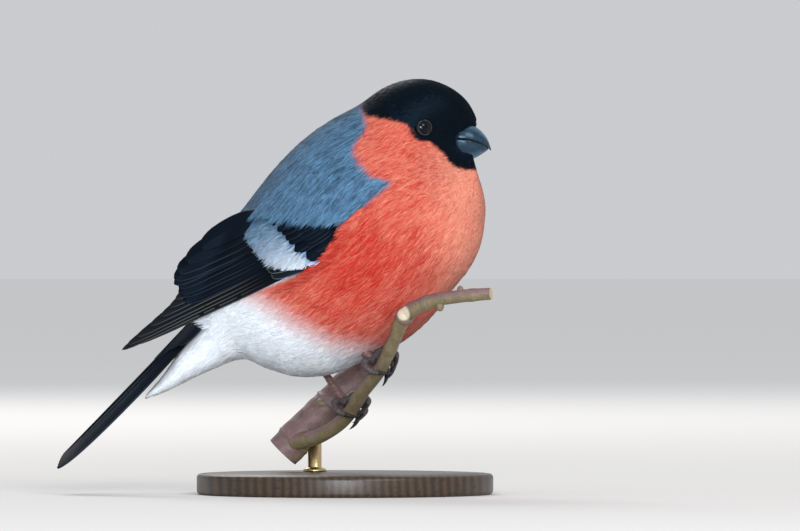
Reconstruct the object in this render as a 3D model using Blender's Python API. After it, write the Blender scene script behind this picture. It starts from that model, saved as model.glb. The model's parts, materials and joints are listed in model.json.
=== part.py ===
"""A male bullfinch, life size, perched on a cut twig that a plain display stand holds.

The bird faces +X with its right side towards -Y, and Z = 0 is the surface that the stand's base rests on.
The origin is the centre of the base's underside. Lengths are in millimetres until a mesh is made.
"""

import math

import bmesh
import bpy
import numpy as np

MM = 0.001
GAP = 0.3  # what touching solids keep between them
ROUND = 26  # points round the body
ROWS = 40  # rings along the body

# Driving dimensions of the stand.
BASE_RADIUS = 43.0
BASE_HEIGHT = 6.0
BASE_BEVEL = 1.2
ROD_RADIUS = 2.0

# Driving dimensions of the bird.
EYE_RADIUS = 3.0
EYE_SHOWS = 1.15  # how far the eyeball stands out of the face
EYE_AT = (22.9, 106.1)
HEAD_BLUNT = 0.40  # how much flatter than an ellipse the crown is
HEAD_STATION = 4.5  # the station at which it is flattest
FACE_PINCH = 0.73  # how much narrower the face is at the bill's root
FACE_AT = np.array((36.0, 101.0))
FACE_REACH = np.array((12.5, 9.5))
TARSUS_RADIUS = 1.1
TOE_RADIUS = 0.95
TOE_ARCH = 2.0  # how far a toe bows off the twig
PAD_RADIUS = 1.75  # the ball of the foot
CLAW_LENGTH = 4.2
CLAW_HOOK = 1.6
TWIG_RADIUS = 2.0  # where the feet grip
VANE = 0.55  # thickness of a feather's vane
WING_LIFT = 0.9  # how far the wing's inner face stays off the body's side
TAIL_LENGTH = 57.5
TAIL_ROOT = (-44.4, 51.0)  # where the tail's upper edge leaves the rump
TAIL_SLOPE = math.radians(226.0)

# Sections across the body from the bill's root to the tip of the undertail coverts. Each has the place of its
# upper and lower end (x, z), half its width, and how much wider it is below its middle than above.
STATIONS = np.array(
    [
        (38.4, 107.4, 34.8, 96.6, 2.0, 0.00),  # round the bill's root
        (37.4, 110.5, 35.9, 95.2, 4.4, 0.00),  # brow and chin
        (34.8, 114.5, 37.4, 94.0, 7.0, 0.00),
        (30.2, 118.0, 39.4, 89.6, 9.9, 0.02),  # crown and throat
        (24.1, 120.1, 40.6, 83.8, 12.7, 0.05),
        (17.4, 119.9, 40.3, 78.0, 15.4, 0.08),
        (10.7, 117.4, 39.1, 71.9, 18.3, 0.14),  # back of the cap and breast
        (4.1, 112.8, 36.2, 65.8, 21.6, 0.17),
        (-4.3, 108.2, 31.0, 59.2, 24.4, 0.14),  # mantle
        (-13.0, 101.8, 24.6, 51.0, 25.8, 0.10),
        (-20.6, 94.0, 16.8, 44.4, 25.8, 0.06),  # back and belly
        (-27.5, 85.3, 6.7, 39.4, 24.6, 0.04),
        (-32.2, 78.9, -3.2, 35.1, 22.0, 0.02),
        (-35.7, 71.3, -13.6, 34.2, 18.4, 0.00),  # rump and vent
        (-38.9, 64.4, -22.3, 36.5, 14.2, 0.00),
        (-41.2, 56.3, -29.6, 39.4, 10.2, 0.00),
        (-42.6, 49.0, -36.5, 37.1, 7.2, 0.00),  # undertail coverts
        (-47.3, 42.2, -44.4, 33.6, 5.2, 0.00),
        (-52.5, 34.6, -51.9, 29.9, 3.2, 0.00),
        (-57.4, 28.9, -57.9, 27.8, 0.8, 0.00),
    ]
)

# Cuts through the body, each a line seen from the side: the neck's upper and lower end, and the rump.
NECK_TOP = ((3.8, 113.1), (37.6, 92.9))
NECK_LOW = ((-3.6, 108.8), (41.0, 78.5))
RUMP = ((-35.7, 71.3), (-13.6, 34.2))

# The bill's ridge, line of the mouth and lower edge, seen from the side, and half its width along them.
CULMEN = ((29.8, 107.0), (33.2, 107.7), (36.5, 107.3), (39.5, 105.3), (41.4, 102.8), (42.4, 99.9))
GAPE = ((29.8, 103.0), (33.2, 102.9), (36.5, 102.5), (39.2, 101.7), (41.1, 100.7), (42.2, 99.6))
GONYS = ((29.8, 97.6), (33.2, 96.6), (36.3, 96.9), (38.8, 98.0), (40.5, 99.1), (41.5, 99.9))
BILL_HALF = (4.0, 4.9, 4.6, 3.5, 2.0, 0.3)

# The twig that the bird grips, and the branch that it forks from, as (x, y, z) and radius.
STEM = (
    (-15.0, 21.5, 14.6, 2.6),
    (-7.0, 15.5, 17.0, 2.2),
    (-0.3, 9.5, 21.5, 2.0),
    (5.0, -0.5, 29.6, 2.0),
    (10.4, -9.5, 36.6, 2.0),
    (14.4, -17.5, 45.3, 2.0),
    (17.6, -23.0, 52.0, 2.3),
    (24.1, -28.0, 55.8, 1.9),
    (33.0, -31.5, 57.5, 1.8),
    (42.0, -34.0, 58.2, 1.7),
)
BRANCH = ((-18.4, 24.5, 11.6, 5.1), (-10.0, 24.0, 20.3, 5.0), (-1.4, 23.6, 28.7, 5.0), (8.6, 23.0, 38.2, 4.8))
ROD_FOOT = (-9.0, 24.0)

COLOURS = {
    "cap": (0.012, 0.016, 0.024, 0.5),
    "red": (0.80, 0.13, 0.06, 0.8),
    "white": (0.70, 0.75, 0.82, 0.8),
    "wing": (0.010, 0.014, 0.022, 0.45),
    "bill": (0.045, 0.060, 0.080, 0.35),
    "eye": (0.010, 0.006, 0.004, 0.08),
    "leg": (0.16, 0.08, 0.075, 0.55),
    "claw": (0.020, 0.016, 0.014, 0.4),
    "wood": (0.20, 0.15, 0.10, 0.7),
    "stand": (0.045, 0.030, 0.020, 0.4),
    "rod": (0.50, 0.42, 0.25, 0.3),
}


def clear_scene():
    for obj in list(bpy.data.objects):
        bpy.data.objects.remove(obj, do_unlink=True)


def finish(name):
    """The material of this name from the table of colours."""
    found = bpy.data.materials.get(name)
    if found:
        return found
    made = bpy.data.materials.new(name)
    made.use_nodes = True
    shader = made.node_tree.nodes["Principled BSDF"]
    red, green, blue, rough = COLOURS[name]
    shader.inputs["Base Color"].default_value = (red, green, blue, 1.0)
    shader.inputs["Roughness"].default_value = rough
    shader.inputs["Metallic"].default_value = 1.0 if name == "rod" else 0.0
    return made


def solid(name, points, faces, colour=None):
    """A mesh object from points in millimetres, its faces turned outwards."""
    mesh = bpy.data.meshes.new(name)
    mesh.from_pydata([tuple(point) for point in np.asarray(points) * MM], [], faces)
    work = bmesh.new()
    work.from_mesh(mesh)
    bmesh.ops.recalc_face_normals(work, faces=work.faces)
    work.to_mesh(mesh)
    work.free()
    if colour:
        mesh.materials.append(finish(colour))
    made = bpy.data.objects.new(name, mesh)
    bpy.context.scene.collection.objects.link(made)
    return made


def ring_faces(rings, sides):
    """Quads between rings of points, each split in two, and a fan on each end's middle point."""
    faces = []
    for i in range(rings - 1):
        for j in range(sides):
            k = (j + 1) % sides
            a, b, c, d = i * sides + j, i * sides + k, (i + 1) * sides + k, (i + 1) * sides + j
            faces += [(a, b, c), (a, c, d)]
    first, last = rings * sides, rings * sides + 1
    for j in range(sides):
        k = (j + 1) % sides
        faces += [(first, k, j), (last, (rings - 1) * sides + j, (rings - 1) * sides + k)]
    return faces


def lofted(name, rings, colour=None):
    """A closed solid through rings of points, an array of (ring, point, 3)."""
    ends = np.array([rings[0].mean(axis=0), rings[-1].mean(axis=0)])
    points = np.concatenate([rings.reshape(-1, 3), ends])
    return solid(name, points, ring_faces(*rings.shape[:2]), colour)


def smooth(table, u):
    """A Catmull-Rom curve through the rows of a table, read at places u from 0 to its last row."""
    table = np.asarray(table, float)
    u = np.clip(np.asarray(u, float), 0, len(table) - 1)
    i = np.minimum(u.astype(int), len(table) - 2)
    t = (u - i)[:, None]
    before, after = table[np.maximum(i - 1, 0)], table[np.minimum(i + 2, len(table) - 1)]
    start, end = table[i], table[i + 1]
    slope_in, slope_out = (end - before) / 2, (after - start) / 2
    return (
        start * (2 * t**3 - 3 * t**2 + 1)
        + slope_in * (t**3 - 2 * t**2 + t)
        + end * (3 * t**2 - 2 * t**3)
        + slope_out * (t**3 - t**2)
    )


def tube(name, route, sides, steps, colour=None):
    """A tube along a smooth route of (x, y, z, radius), its rings square to the route."""
    line = smooth(route, np.linspace(0, len(route) - 1, steps))
    centre, radius = line[:, :3], line[:, 3]
    along = np.gradient(centre, axis=0)
    along /= np.linalg.norm(along, axis=1)[:, None]
    side = np.cross(along, (0.31, 0.93, 0.17))
    side /= np.linalg.norm(side, axis=1)[:, None]
    up = np.cross(side, along)
    turn = np.linspace(0, 2 * math.pi, sides, endpoint=False)
    rings = centre[:, None] + radius[:, None, None] * (
        np.cos(turn)[None, :, None] * side[:, None] + np.sin(turn)[None, :, None] * up[:, None]
    )
    return lofted(name, rings, colour)


def combined(target, others, how):
    """One Boolean on a collection of the other objects, applied, after which they are removed."""
    group = bpy.data.collections.new("pieces")
    for other in others:
        other.hide_render = True
        other.display_type = "WIRE"
        group.objects.link(other)
    step = target.modifiers.new("join", "BOOLEAN")
    step.operation = how
    step.operand_type = "COLLECTION"
    step.collection = group
    step.solver = "MANIFOLD"
    graph = bpy.context.evaluated_depsgraph_get()
    mesh = bpy.data.meshes.new_from_object(target.evaluated_get(graph))
    target.modifiers.clear()
    target.data = mesh
    for other in others:
        bpy.data.objects.remove(other, do_unlink=True)
    bpy.data.collections.remove(group)
    keep_largest(target)
    return target


def keep_largest(obj):
    """Leaves the closed surface that holds the most room."""
    work = bmesh.new()
    work.from_mesh(obj.data)
    work.verts.ensure_lookup_table()
    left, shells = set(work.verts), []
    while left:
        reached, edge = set(), [left.pop()]
        while edge:
            vert = edge.pop()
            reached.add(vert)
            for link in vert.link_edges:
                other = link.other_vert(vert)
                if other in left:
                    left.discard(other)
                    edge.append(other)
        shells.append(reached)
    if len(shells) > 1:
        largest = max(shells, key=shell_volume)
        drop = [vert for shell in shells if shell is not largest for vert in shell]
        bmesh.ops.delete(work, geom=drop, context="VERTS")
    work.to_mesh(obj.data)
    work.free()


def shell_volume(verts):
    """Six times the volume that a closed surface holds."""
    faces = {face for vert in verts for face in vert.link_faces}
    total = 0.0
    for face in faces:
        corners = [vert.co for vert in face.verts]
        for b, c in zip(corners[1:], corners[2:]):
            total += corners[0].dot(b.cross(c))
    return total


def body_rings(rows, sides, grow=0.0):
    """Rings round the body. A section is an ellipse whose lower half is wider by the station's last value, and
    whose upper end is blunter on the head. Towards the bill's root the face narrows by a smooth bell."""
    place_on = np.linspace(0, len(STATIONS) - 1, rows)
    line = smooth(STATIONS, place_on)
    turn = np.linspace(0, 2 * math.pi, sides, endpoint=False)
    reach, width = np.cos(turn), np.sin(turn)
    power = 1 - HEAD_BLUNT * np.exp(-(((place_on - HEAD_STATION) / 3) ** 2))
    full = np.sign(width) * np.abs(width) ** power[:, None]
    width = np.where(reach > 0, full, width)
    top, low, half, swell = line[:, None, 0:2], line[:, None, 2:4], line[:, 4], line[:, 5]
    middle, arm = (top + low) / 2, (top - low) / 2
    arm = arm * (1 + grow / np.linalg.norm(arm, axis=2, keepdims=True))
    place = middle + arm * reach[None, :, None]
    near = np.exp(-(((place - FACE_AT) / FACE_REACH) ** 2).sum(axis=-1))
    full = half[:, None] * (1 - FACE_PINCH * near) + grow
    across = -full * width * (1 - swell[:, None] * reach[None])
    return np.stack([place[..., 0], across, place[..., 1]], axis=-1)


def body_mesh(name, grow=0.0):
    rings = body_rings(ROWS, ROUND, grow)
    if grow:
        rings[0] += (grow, 0, 0)
        rings[-1] += (-grow, 0, -grow)
    return lofted(name, rings)


BODY_SAMPLES = body_rings(320, 240)[:, 1:120].reshape(-1, 3)  # the right side, densely


def side_depth(places):
    """How far the body reaches to its side at places (x, z) seen from the side, and 0 outside its outline."""
    places = np.asarray(places, float).reshape(-1, 2)
    found = np.zeros(len(places))
    for i, place in enumerate(places):
        away = ((BODY_SAMPLES[:, [0, 2]] - place) ** 2).sum(axis=1)
        near = np.argpartition(away, 6)[:6]
        if away[near].min() < 1.0:
            weight = 1 / (away[near] + 0.01)
            found[i] = -(BODY_SAMPLES[near, 1] * weight).sum() / weight.sum()
    return found


def cut(obj, line, keep):
    """Keeps the side of a cut that holds the place keep, half a gap short of the cut, and closes it."""
    (ax, az), (bx, bz) = line
    normal = np.array([-(bz - az), 0.0, bx - ax])
    normal /= np.linalg.norm(normal)
    if np.dot(normal, (keep[0] - ax, 0, keep[1] - az)) < 0:
        normal = -normal
    place = np.array([ax, 0.0, az]) + normal * GAP / 2
    work = bmesh.new()
    work.from_mesh(obj.data)
    geometry = work.verts[:] + work.edges[:] + work.faces[:]
    found = bmesh.ops.bisect_plane(
        work, geom=geometry, plane_co=place * MM, plane_no=normal, clear_inner=True, dist=1e-7
    )
    rim = [item for item in found["geom_cut"] if isinstance(item, bmesh.types.BMEdge)]
    bmesh.ops.holes_fill(work, edges=rim, sides=0)
    bmesh.ops.triangulate(work, faces=work.faces)
    bmesh.ops.recalc_face_normals(work, faces=work.faces)
    work.to_mesh(obj.data)
    work.free()
    return obj


def flesh(name, colour, cuts):
    """A length of the body between cuts."""
    made = body_mesh(name)
    made.data.materials.append(finish(colour))
    for line, keep in cuts:
        cut(made, line, keep)
    return made


def bill_half(name, upper, lower, ends, colour=None, grow=0.0):
    """One half of the bill: a dome over, or under, its flat side at the line of the mouth."""
    u = np.linspace(0, len(upper) - 1, 11)
    top, low, half = smooth(upper, u), smooth(lower, u), smooth(np.array(ends)[:, None], u)[:, 0]
    turn = np.linspace(0, math.pi, 9)
    bulge, across = np.sin(turn), np.cos(turn)
    rim, ridge = (low, top) if name.startswith("bill_upper") else (top, low)
    arm = ridge - rim
    arm = arm * (1 + grow / np.linalg.norm(arm, axis=1, keepdims=True))
    place = rim[:, None] + arm[:, None] * bulge[None, :, None]
    place = place - arm[:, None] / np.linalg.norm(arm, axis=1)[:, None, None] * grow
    rings = np.stack([place[..., 0], (half[:, None] + grow) * across[None], place[..., 1]], axis=-1)
    return lofted(name, rings, colour)


def bill():
    lowered = tuple((x, z - GAP) for x, z in GAPE[:-1]) + ((41.6, 100.3 - GAP),)
    bill_half("bill_upper", CULMEN, GAPE, BILL_HALF, "bill")
    bill_half("bill_lower", lowered, GONYS, (3.8, 4.7, 4.3, 3.1, 1.7, 0.3), "bill")


def bill_cutter():
    """The bill's whole root, grown by the gap, which makes its seat in the face."""
    x = np.linspace(29.3, 43.5, 9)
    u = np.interp(x, [point[0] for point in CULMEN], np.arange(len(CULMEN)))
    top, half = smooth(CULMEN, u)[:, 1], smooth(np.array(BILL_HALF)[:, None], u)[:, 0]
    low = np.interp(x, [point[0] for point in GONYS], [point[1] for point in GONYS])
    turn = np.linspace(0, 2 * math.pi, 16, endpoint=False)
    middle, arm = (top + low) / 2, (top - low) / 2 + GAP + 0.1
    rings = np.stack(
        [
            np.repeat(x[:, None], 16, axis=1),
            (half[:, None] + GAP + 0.15) * np.sin(turn)[None],
            middle[:, None] + arm[:, None] * np.sign(np.cos(turn)) * np.abs(np.cos(turn)) ** 0.8,
        ],
        axis=-1,
    )
    return lofted("bill_seat", rings)


def eye_place(side):
    """The eyeball's centre, and the way it looks, which is square to the face."""
    depth = side_depth([EYE_AT])[0]
    slope = side_depth([(EYE_AT[0] + 2, EYE_AT[1]), (EYE_AT[0] - 2, EYE_AT[1])])
    rise = side_depth([(EYE_AT[0], EYE_AT[1] + 2), (EYE_AT[0], EYE_AT[1] - 2)])
    out = np.array([(slope[1] - slope[0]) / 4, 1.0, (rise[1] - rise[0]) / 4])
    out /= np.linalg.norm(out)
    centre = np.array([EYE_AT[0], depth, EYE_AT[1]]) + out * (EYE_SHOWS - EYE_RADIUS)
    flip = np.array([1, -side, 1])
    return centre * flip, out * flip


def ball(name, centre, radius, colour=None, rows=8, sides=14):
    lat = np.linspace(0, math.pi, rows + 1)[1:-1]
    turn = np.linspace(0, 2 * math.pi, sides, endpoint=False)
    rings = np.stack(
        [
            np.sin(lat)[:, None] * np.cos(turn),
            np.sin(lat)[:, None] * np.sin(turn),
            np.repeat(np.cos(lat)[:, None], sides, axis=1),
        ],
        axis=-1,
    )
    points = np.concatenate([rings.reshape(-1, 3), [(0, 0, 1), (0, 0, -1)]]) * radius + centre
    return solid(name, points, ring_faces(rows - 1, sides), colour)


def lids(name, centre, out):
    """A ring of bare skin round the eye, a little taller before and behind than above and below."""
    side = np.cross(out, (0, 0, 1))
    side /= np.linalg.norm(side)
    up = np.cross(side, out)
    turn = np.linspace(0, 2 * math.pi, 16, endpoint=False)
    roll = np.linspace(0, 2 * math.pi, 5, endpoint=False)
    spoke = np.cos(turn)[:, None] * side * 1.04 + np.sin(turn)[:, None] * up * 0.96
    wide = 2.55 + 0.5 * np.cos(roll)
    high = 1.5 + 0.5 * np.sin(roll)
    points = centre + spoke[:, None] * wide[None, :, None] + out * high[None, :, None]
    faces = []
    for i in range(16):
        for j in range(5):
            a, b = i * 5 + j, i * 5 + (j + 1) % 5
            c, d = ((i + 1) % 16) * 5 + (j + 1) % 5, ((i + 1) % 16) * 5 + j
            faces += [(a, b, c), (a, c, d)]
    return solid(name, points.reshape(-1, 3), faces)


def head():
    made = flesh("head", "cap", [(NECK_TOP, EYE_AT)])
    rims, sockets = [], []
    for side, word in ((1, "right"), (-1, "left")):
        centre, out = eye_place(side)
        rims.append(lids("lids_" + word, centre, out))
        sockets.append(ball("socket_" + word, centre, EYE_RADIUS + GAP))
        ball("eye_" + word, centre, EYE_RADIUS, "eye")
    combined(made, rims, "UNION")
    combined(made, sockets + [bill_cutter()], "DIFFERENCE")


def wing_depth(places):
    """How far out from the middle plane the folded wing's inner face lies."""
    places = np.asarray(places, float).reshape(-1, 2)
    body = side_depth(places) + WING_LIFT
    shelf = np.interp(places[:, 0], (-66.0, -46.0, -30.0), (4.5, 8.5, 12.0))
    return (body + shelf + np.sqrt((body - shelf) ** 2 + 9.0)) / 2 - 0.4


SPAN = np.array([0.0, 0.32, 0.62, 0.86, 1.0])
BLUNT = np.array([0.60, 0.92, 1.0, 0.80, 0.30])
SHARP = np.array([0.65, 0.95, 0.95, 0.58, 0.14])
SHORT_SPAN = np.array([0.0, 0.45, 0.80, 1.0])
SHORT = np.array([0.65, 1.0, 0.85, 0.32])


def vane(name, root, tip, width, rise, side, bend=0.0, span=SPAN, form=BLUNT, tilt=0.28):
    """A feather's vane on the wing. Seen from the side it runs from root to tip, bowed by bend. Its lower edge
    stands out by tilt and its upper edge lies in by as much, so that each lies over its neighbour's edge."""
    root, tip = np.array(root, float), np.array(tip, float)
    run = tip - root
    across = np.array([-run[1], run[0]]) / np.linalg.norm(run)
    if across[1] > 0:
        across = -across
    middle = root + span[:, None] * run + across * (bend * 4 * span * (1 - span))[:, None]
    half = (form * width / 2)[:, None]
    low, high = middle + across * half, middle - across * half
    lift = rise[0] + (rise[1] - rise[0]) * span
    thick = VANE * (1 - 0.35 * span**3)
    corners = []
    for place, lean, outer in ((low, tilt, 1), (high, -tilt, 1), (high, -tilt, 0), (low, tilt, 0)):
        out = wing_depth(place) + lift + lean + outer * thick
        corners.append(np.stack([place[:, 0], -side * out, place[:, 1]], axis=-1))
    return strip(name, np.stack(corners, axis=1))


def strip(name, rings):
    """A thin solid through rings of four corners, its two broad faces split along the same diagonals."""
    count = len(rings)
    faces = []
    for i in range(count - 1):
        a, b = 4 * i, 4 * (i + 1)
        faces += [(a, a + 1, b), (a + 1, b + 1, b)]
        faces += [(a + 1, a + 2, b + 2), (a + 1, b + 2, b + 1)]
        faces += [(a + 2, a + 3, b + 3), (a + 2, b + 3, b + 2)]
        faces += [(a + 3, a, b), (a + 3, b, b + 3)]
    faces[2::8] = [(4 * i + 1, 4 * i + 2, 4 * i + 6) for i in range(count - 1)]
    faces += [(0, 3, 2), (0, 2, 1)]
    last = 4 * (count - 1)
    faces += [(last, last + 1, last + 2), (last, last + 2, last + 3)]
    return solid(name, rings.reshape(-1, 3), faces)


def row(count, starts, ends):
    """Places spread evenly between two pairs of places, for the roots and tips of a tier."""
    t = np.linspace(0, 1, count)[:, None]
    (root_a, tip_a), (root_b, tip_b) = starts, ends
    roots = np.array(root_a) * (1 - t) + np.array(root_b) * t
    tips = np.array(tip_a) * (1 - t) + np.array(tip_b) * t
    return zip(roots, tips)


def wing(side, word):
    pieces = []

    def tier(label, places, width, rise, **shape):
        for i, (root, tip) in enumerate(places):
            pieces.append(vane(f"{label}_{word}_{i}", root, tip, width, rise, side, **shape))

    tips = ((-60.0, 43.6), (-64.5, 41.9), (-63.0, 43.6), (-60.2, 46.0), (-55.8, 49.8), (-52.6, 52.8), (-50.2, 55.6))
    roots = [(-11.0 - 1.4 * i, 67.0 + 0.55 * i) for i in range(len(tips))]
    tier("primary", zip(roots, tips), 6.2, (0.0, 0.1), form=SHARP, bend=-1.2)
    tier("secondary", row(5, ((-19, 70), (-48.6, 58.4)), ((-24, 74.5), (-47.4, 65.4))), 6.6, (0.2, 0.35), bend=-0.8)
    tier("tertial", row(3, ((-21, 76), (-45.8, 68.2)), ((-21, 80.5), (-39.4, 73.2))), 7.0, (0.45, 0.7), bend=-0.6)
    short = {"span": SHORT_SPAN, "form": SHORT}
    tier("hand_covert", row(3, ((-4, 71), (-21.2, 62.9)), ((-8, 74), (-23.0, 66.6))), 4.6, (0.35, 0.6), **short)
    tier("greater_covert", row(6, ((-3.5, 76.5), (-11.6, 65.8)), ((-20, 84.5), (-28.6, 74.0))), 5.6, (0.2, 0.9), **short)
    tier("median_covert", row(5, ((0, 79.5), (-7.4, 70.4)), ((-12, 87), (-22, 76.4))), 6.0, (-0.2, 1.1), **short)
    tier("scapular", row(6, ((9, 93), (-3.0, 76.8)), ((-13, 98), (-29.4, 77.2))), 8.0, (-1.9, 1.3), **short)
    base = pieces.pop(0)
    base.name = "wing_" + word
    base.data.materials.append(finish("wing"))
    combined(base, pieces, "UNION")
    combined(base, [body_mesh("room_for_side_" + word, GAP + 0.05)], "DIFFERENCE")


def tail_place(run, over, across):
    """A place on the tail: run along it, over its upper edge and across from the middle plane."""
    along = np.array([math.cos(TAIL_SLOPE), math.sin(TAIL_SLOPE)])
    up = np.array([along[1], -along[0]])
    arch = (0.055 - 0.035 * run / TAIL_LENGTH) * across**2
    place = np.array(TAIL_ROOT) + run * along + (over - arch) * up
    return (place[0], across, place[1])


def rectrix(name, number, side):
    """One tail feather. The middle pair lies on top, and each one outwards lies under the last and reaches on."""
    spread = 0.6 + 1.15 * number
    reach = TAIL_LENGTH - 3.2 + 0.75 * number
    rings = []
    for t, form in zip(SPAN, (0.8, 0.95, 1.0, 0.95, 0.5)):
        run = -9.0 + (reach + 9.0) * t
        middle = side * spread * (0.55 + 0.55 * t)
        half = 3.6 * form * (0.75 + 0.3 * t)
        drop = -0.9 - number * (0.30 - 0.17 * t)
        thick = VANE * (1 - 0.3 * t**3)
        edges = ((middle + side * half, drop - 0.2), (middle - side * half, drop + 0.2))
        ring = [tail_place(run, over + thick, across) for across, over in edges]
        ring += [tail_place(run, over, across) for across, over in reversed(edges)]
        rings.append(ring)
    return strip(name, np.array(rings))


def tail_covert(name, number, side):
    """A feather that covers the tail's root from above."""
    rings = []
    for t, form in zip(SPAN, BLUNT):
        run = -9.0 + (15.0 - 2.2 * number + 9.0) * t
        middle = side * (0.9 + 1.9 * number)
        half = 2.6 * form
        over = 0.1 - 0.35 * number
        edges = ((middle + side * half, over - 0.2), (middle - side * half, over + 0.2))
        ring = [tail_place(run, height + VANE, across) for across, height in edges]
        ring += [tail_place(run, height - 0.5, across) for across, height in reversed(edges)]
        rings.append(ring)
    return strip(name, np.array(rings))


def tail():
    pieces = []
    for side, word in ((-1, "right"), (1, "left")):
        for number in range(6):
            pieces.append(rectrix(f"rectrix_{word}_{number}", number, side))
        for number in range(3):
            pieces.append(tail_covert(f"tail_covert_{word}_{number}", number, side))
    base = pieces.pop(0)
    base.name = "tail"
    base.data.materials.append(finish("wing"))
    combined(base, pieces, "UNION")
    combined(base, [body_mesh("room_for_rump", GAP + 0.05)], "DIFFERENCE")


def grip(centre, along, lean):
    """Directions at a foot: along the twig, up from it towards the leg, and forwards across it."""
    along = np.array(along, float) / np.linalg.norm(along)
    up = np.array(lean, float)
    up -= along * up.dot(along)
    up /= np.linalg.norm(up)
    ahead = np.cross(along, up)
    if ahead[0] < 0:
        ahead = -ahead
    return np.array(centre, float), along, up, ahead


def toe_route(frame, shift, turn_to, face, clear):
    """A toe's middle line round the twig, from its top to the angle turn_to, as an array of places."""
    centre, along, up, ahead = frame
    t = np.linspace(0, 1, 6)
    angle = math.radians(6) + (turn_to - math.radians(6)) * t
    reach = clear + TOE_ARCH * np.sin(math.pi * t) + 0.5 * t
    slide = shift * (0.25 + 0.75 * np.sin(t * math.pi / 2))
    spoke = np.cos(angle)[:, None] * up + face * np.sin(angle)[:, None] * ahead
    return centre + spoke * reach[:, None] + slide[:, None] * along


def foot(word, frame, knee):
    """The toes, fused at the ball of the foot, their claws, and the tarsus up to the belly."""
    centre, _, up, _ = frame
    clear = TWIG_RADIUS + GAP + TOE_RADIUS + 0.1
    start = centre + up * (clear + 0.7)
    pieces = [ball("pad_" + word, start, PAD_RADIUS, None, 6, 10)]
    plans = (("inner", 3.6, 1.95, 1), ("middle", 0.0, 2.2, 1), ("outer", -3.6, 1.95, 1), ("hind", 1.8, 1.9, -1))
    for label, shift, turn_to, face in plans:
        route = toe_route(frame, shift, turn_to, face, clear)
        radius = TOE_RADIUS * np.array([1.05, 1.0, 1.08, 0.9, 0.98, 0.72])
        pieces.append(tube(f"toe_{label}_{word}", np.column_stack([route, radius]), 7, 11))
        claw(f"claw_{label}_{word}", frame, route)
    base = pieces.pop(0)
    base.name = "foot_" + word
    base.data.materials.append(finish("leg"))
    combined(base, pieces, "UNION")
    combined(base, [body_mesh("room_for_flank_" + word, GAP)], "DIFFERENCE")
    knee = np.array(knee, float)
    away = (knee - start) / np.linalg.norm(knee - start)
    start = start + away * (PAD_RADIUS + GAP)
    t = np.array([0.0, 0.3, 0.65, 1.0])
    places = start + (knee - start) * t[:, None]
    radius = TARSUS_RADIUS * (1.12 - 0.3 * np.sin(math.pi * t))
    leg = tube("leg_" + word, np.column_stack([places, radius]), 9, 8, "leg")
    combined(leg, [body_mesh("room_for_belly", GAP)], "DIFFERENCE")


def claw(name, frame, route):
    """A claw that curves on round the twig from the toe's end."""
    centre, along, _, _ = frame
    end = route[-1]
    step = end - route[-2]
    step /= np.linalg.norm(step)
    t = np.linspace(0, 1, 5)
    inward = centre - end
    inward -= along * inward.dot(along)
    inward -= step * inward.dot(step)
    inward /= np.linalg.norm(inward)
    places = end + step * (GAP + 0.02 + CLAW_LENGTH * t)[:, None] + inward * (CLAW_HOOK * t**2)[:, None]
    radius = 0.66 * (1 - t) ** 0.8 + 0.12
    tube(name, np.column_stack([places, radius]), 6, 6, "claw")


def legs():
    stem = smooth(STEM, np.linspace(0, len(STEM) - 1, 200))[:, :3]
    for word, place, lean, knee in (
        ("left", (1.4, 6.3, 23.8), (-0.35, 0.1, 1.0), (-9.0, 9.5, 40.0)),
        ("right", (10.2, -9.3, 36.4), (-0.45, -0.15, 1.0), (-1.0, -11.0, 50.0)),
    ):
        near = np.argmin(((stem - place) ** 2).sum(axis=1))
        along = stem[near + 3] - stem[near - 3]
        foot(word, grip(stem[near], along, lean), knee)


def perch():
    branch = tube("perch", BRANCH, 12, 7, "wood")
    stem = tube("stem", STEM, 8, 28)
    buds = []
    for i, (x, y, z, radius) in enumerate(((17.2, -22.6, 51.0, 2.9), (-6.6, 20.4, 26.0, 1.9), (33.2, -31.4, 58.9, 1.1))):
        buds.append(ball(f"bud_{i}", (x, y, z), radius, None, 6, 8))
    combined(branch, [stem] + buds, "UNION")


def stand():
    bpy.ops.mesh.primitive_cylinder_add(vertices=56, radius=BASE_RADIUS * MM, depth=BASE_HEIGHT * MM)
    base = bpy.context.object
    base.name = "stand_base"
    base.location = (0, 0, BASE_HEIGHT * MM / 2)
    base.data.materials.append(finish("stand"))
    edge = base.modifiers.new("edge", "BEVEL")
    edge.width = BASE_BEVEL * MM
    edge.segments = 1
    edge.limit_method = "ANGLE"
    edge.angle_limit = math.radians(40)
    x, y = ROD_FOOT
    low, high = BASE_HEIGHT + GAP, 22.0
    rod = tube("stand_rod", ((x, y, low, ROD_RADIUS), (x, y, high, ROD_RADIUS)), 16, 3, "rod")
    grown = tuple((bx, by, bz, radius + GAP + 0.05) for bx, by, bz, radius in BRANCH)
    combined(rod, [tube("room_for_branch", grown, 12, 7)], "DIFFERENCE")


clear_scene()
head()
flesh("neck", "red", [(NECK_TOP, (0, 60)), (NECK_LOW, EYE_AT)])
flesh("torso", "red", [(NECK_LOW, (0, 60)), (RUMP, (20, 60))])
flesh("vent", "white", [(RUMP, (-50, 40))])
bill()
wing(1, "right")
wing(-1, "left")
tail()
legs()
perch()
stand()
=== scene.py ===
# %% [markdown]
# # A bullfinch on a cut twig
# A life-size male bullfinch, fluffed against the cold, grips a twig that a small display stand holds up.
# Each cell below makes one piece or one finish of it. Shapes are worked out with numpy as whole arrays,
# in millimetres, and are scaled to metres only when they become a mesh. The bird faces +X and its right
# side looks towards -Y, which is where the camera stands.

# %% Start
import json
import math

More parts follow.
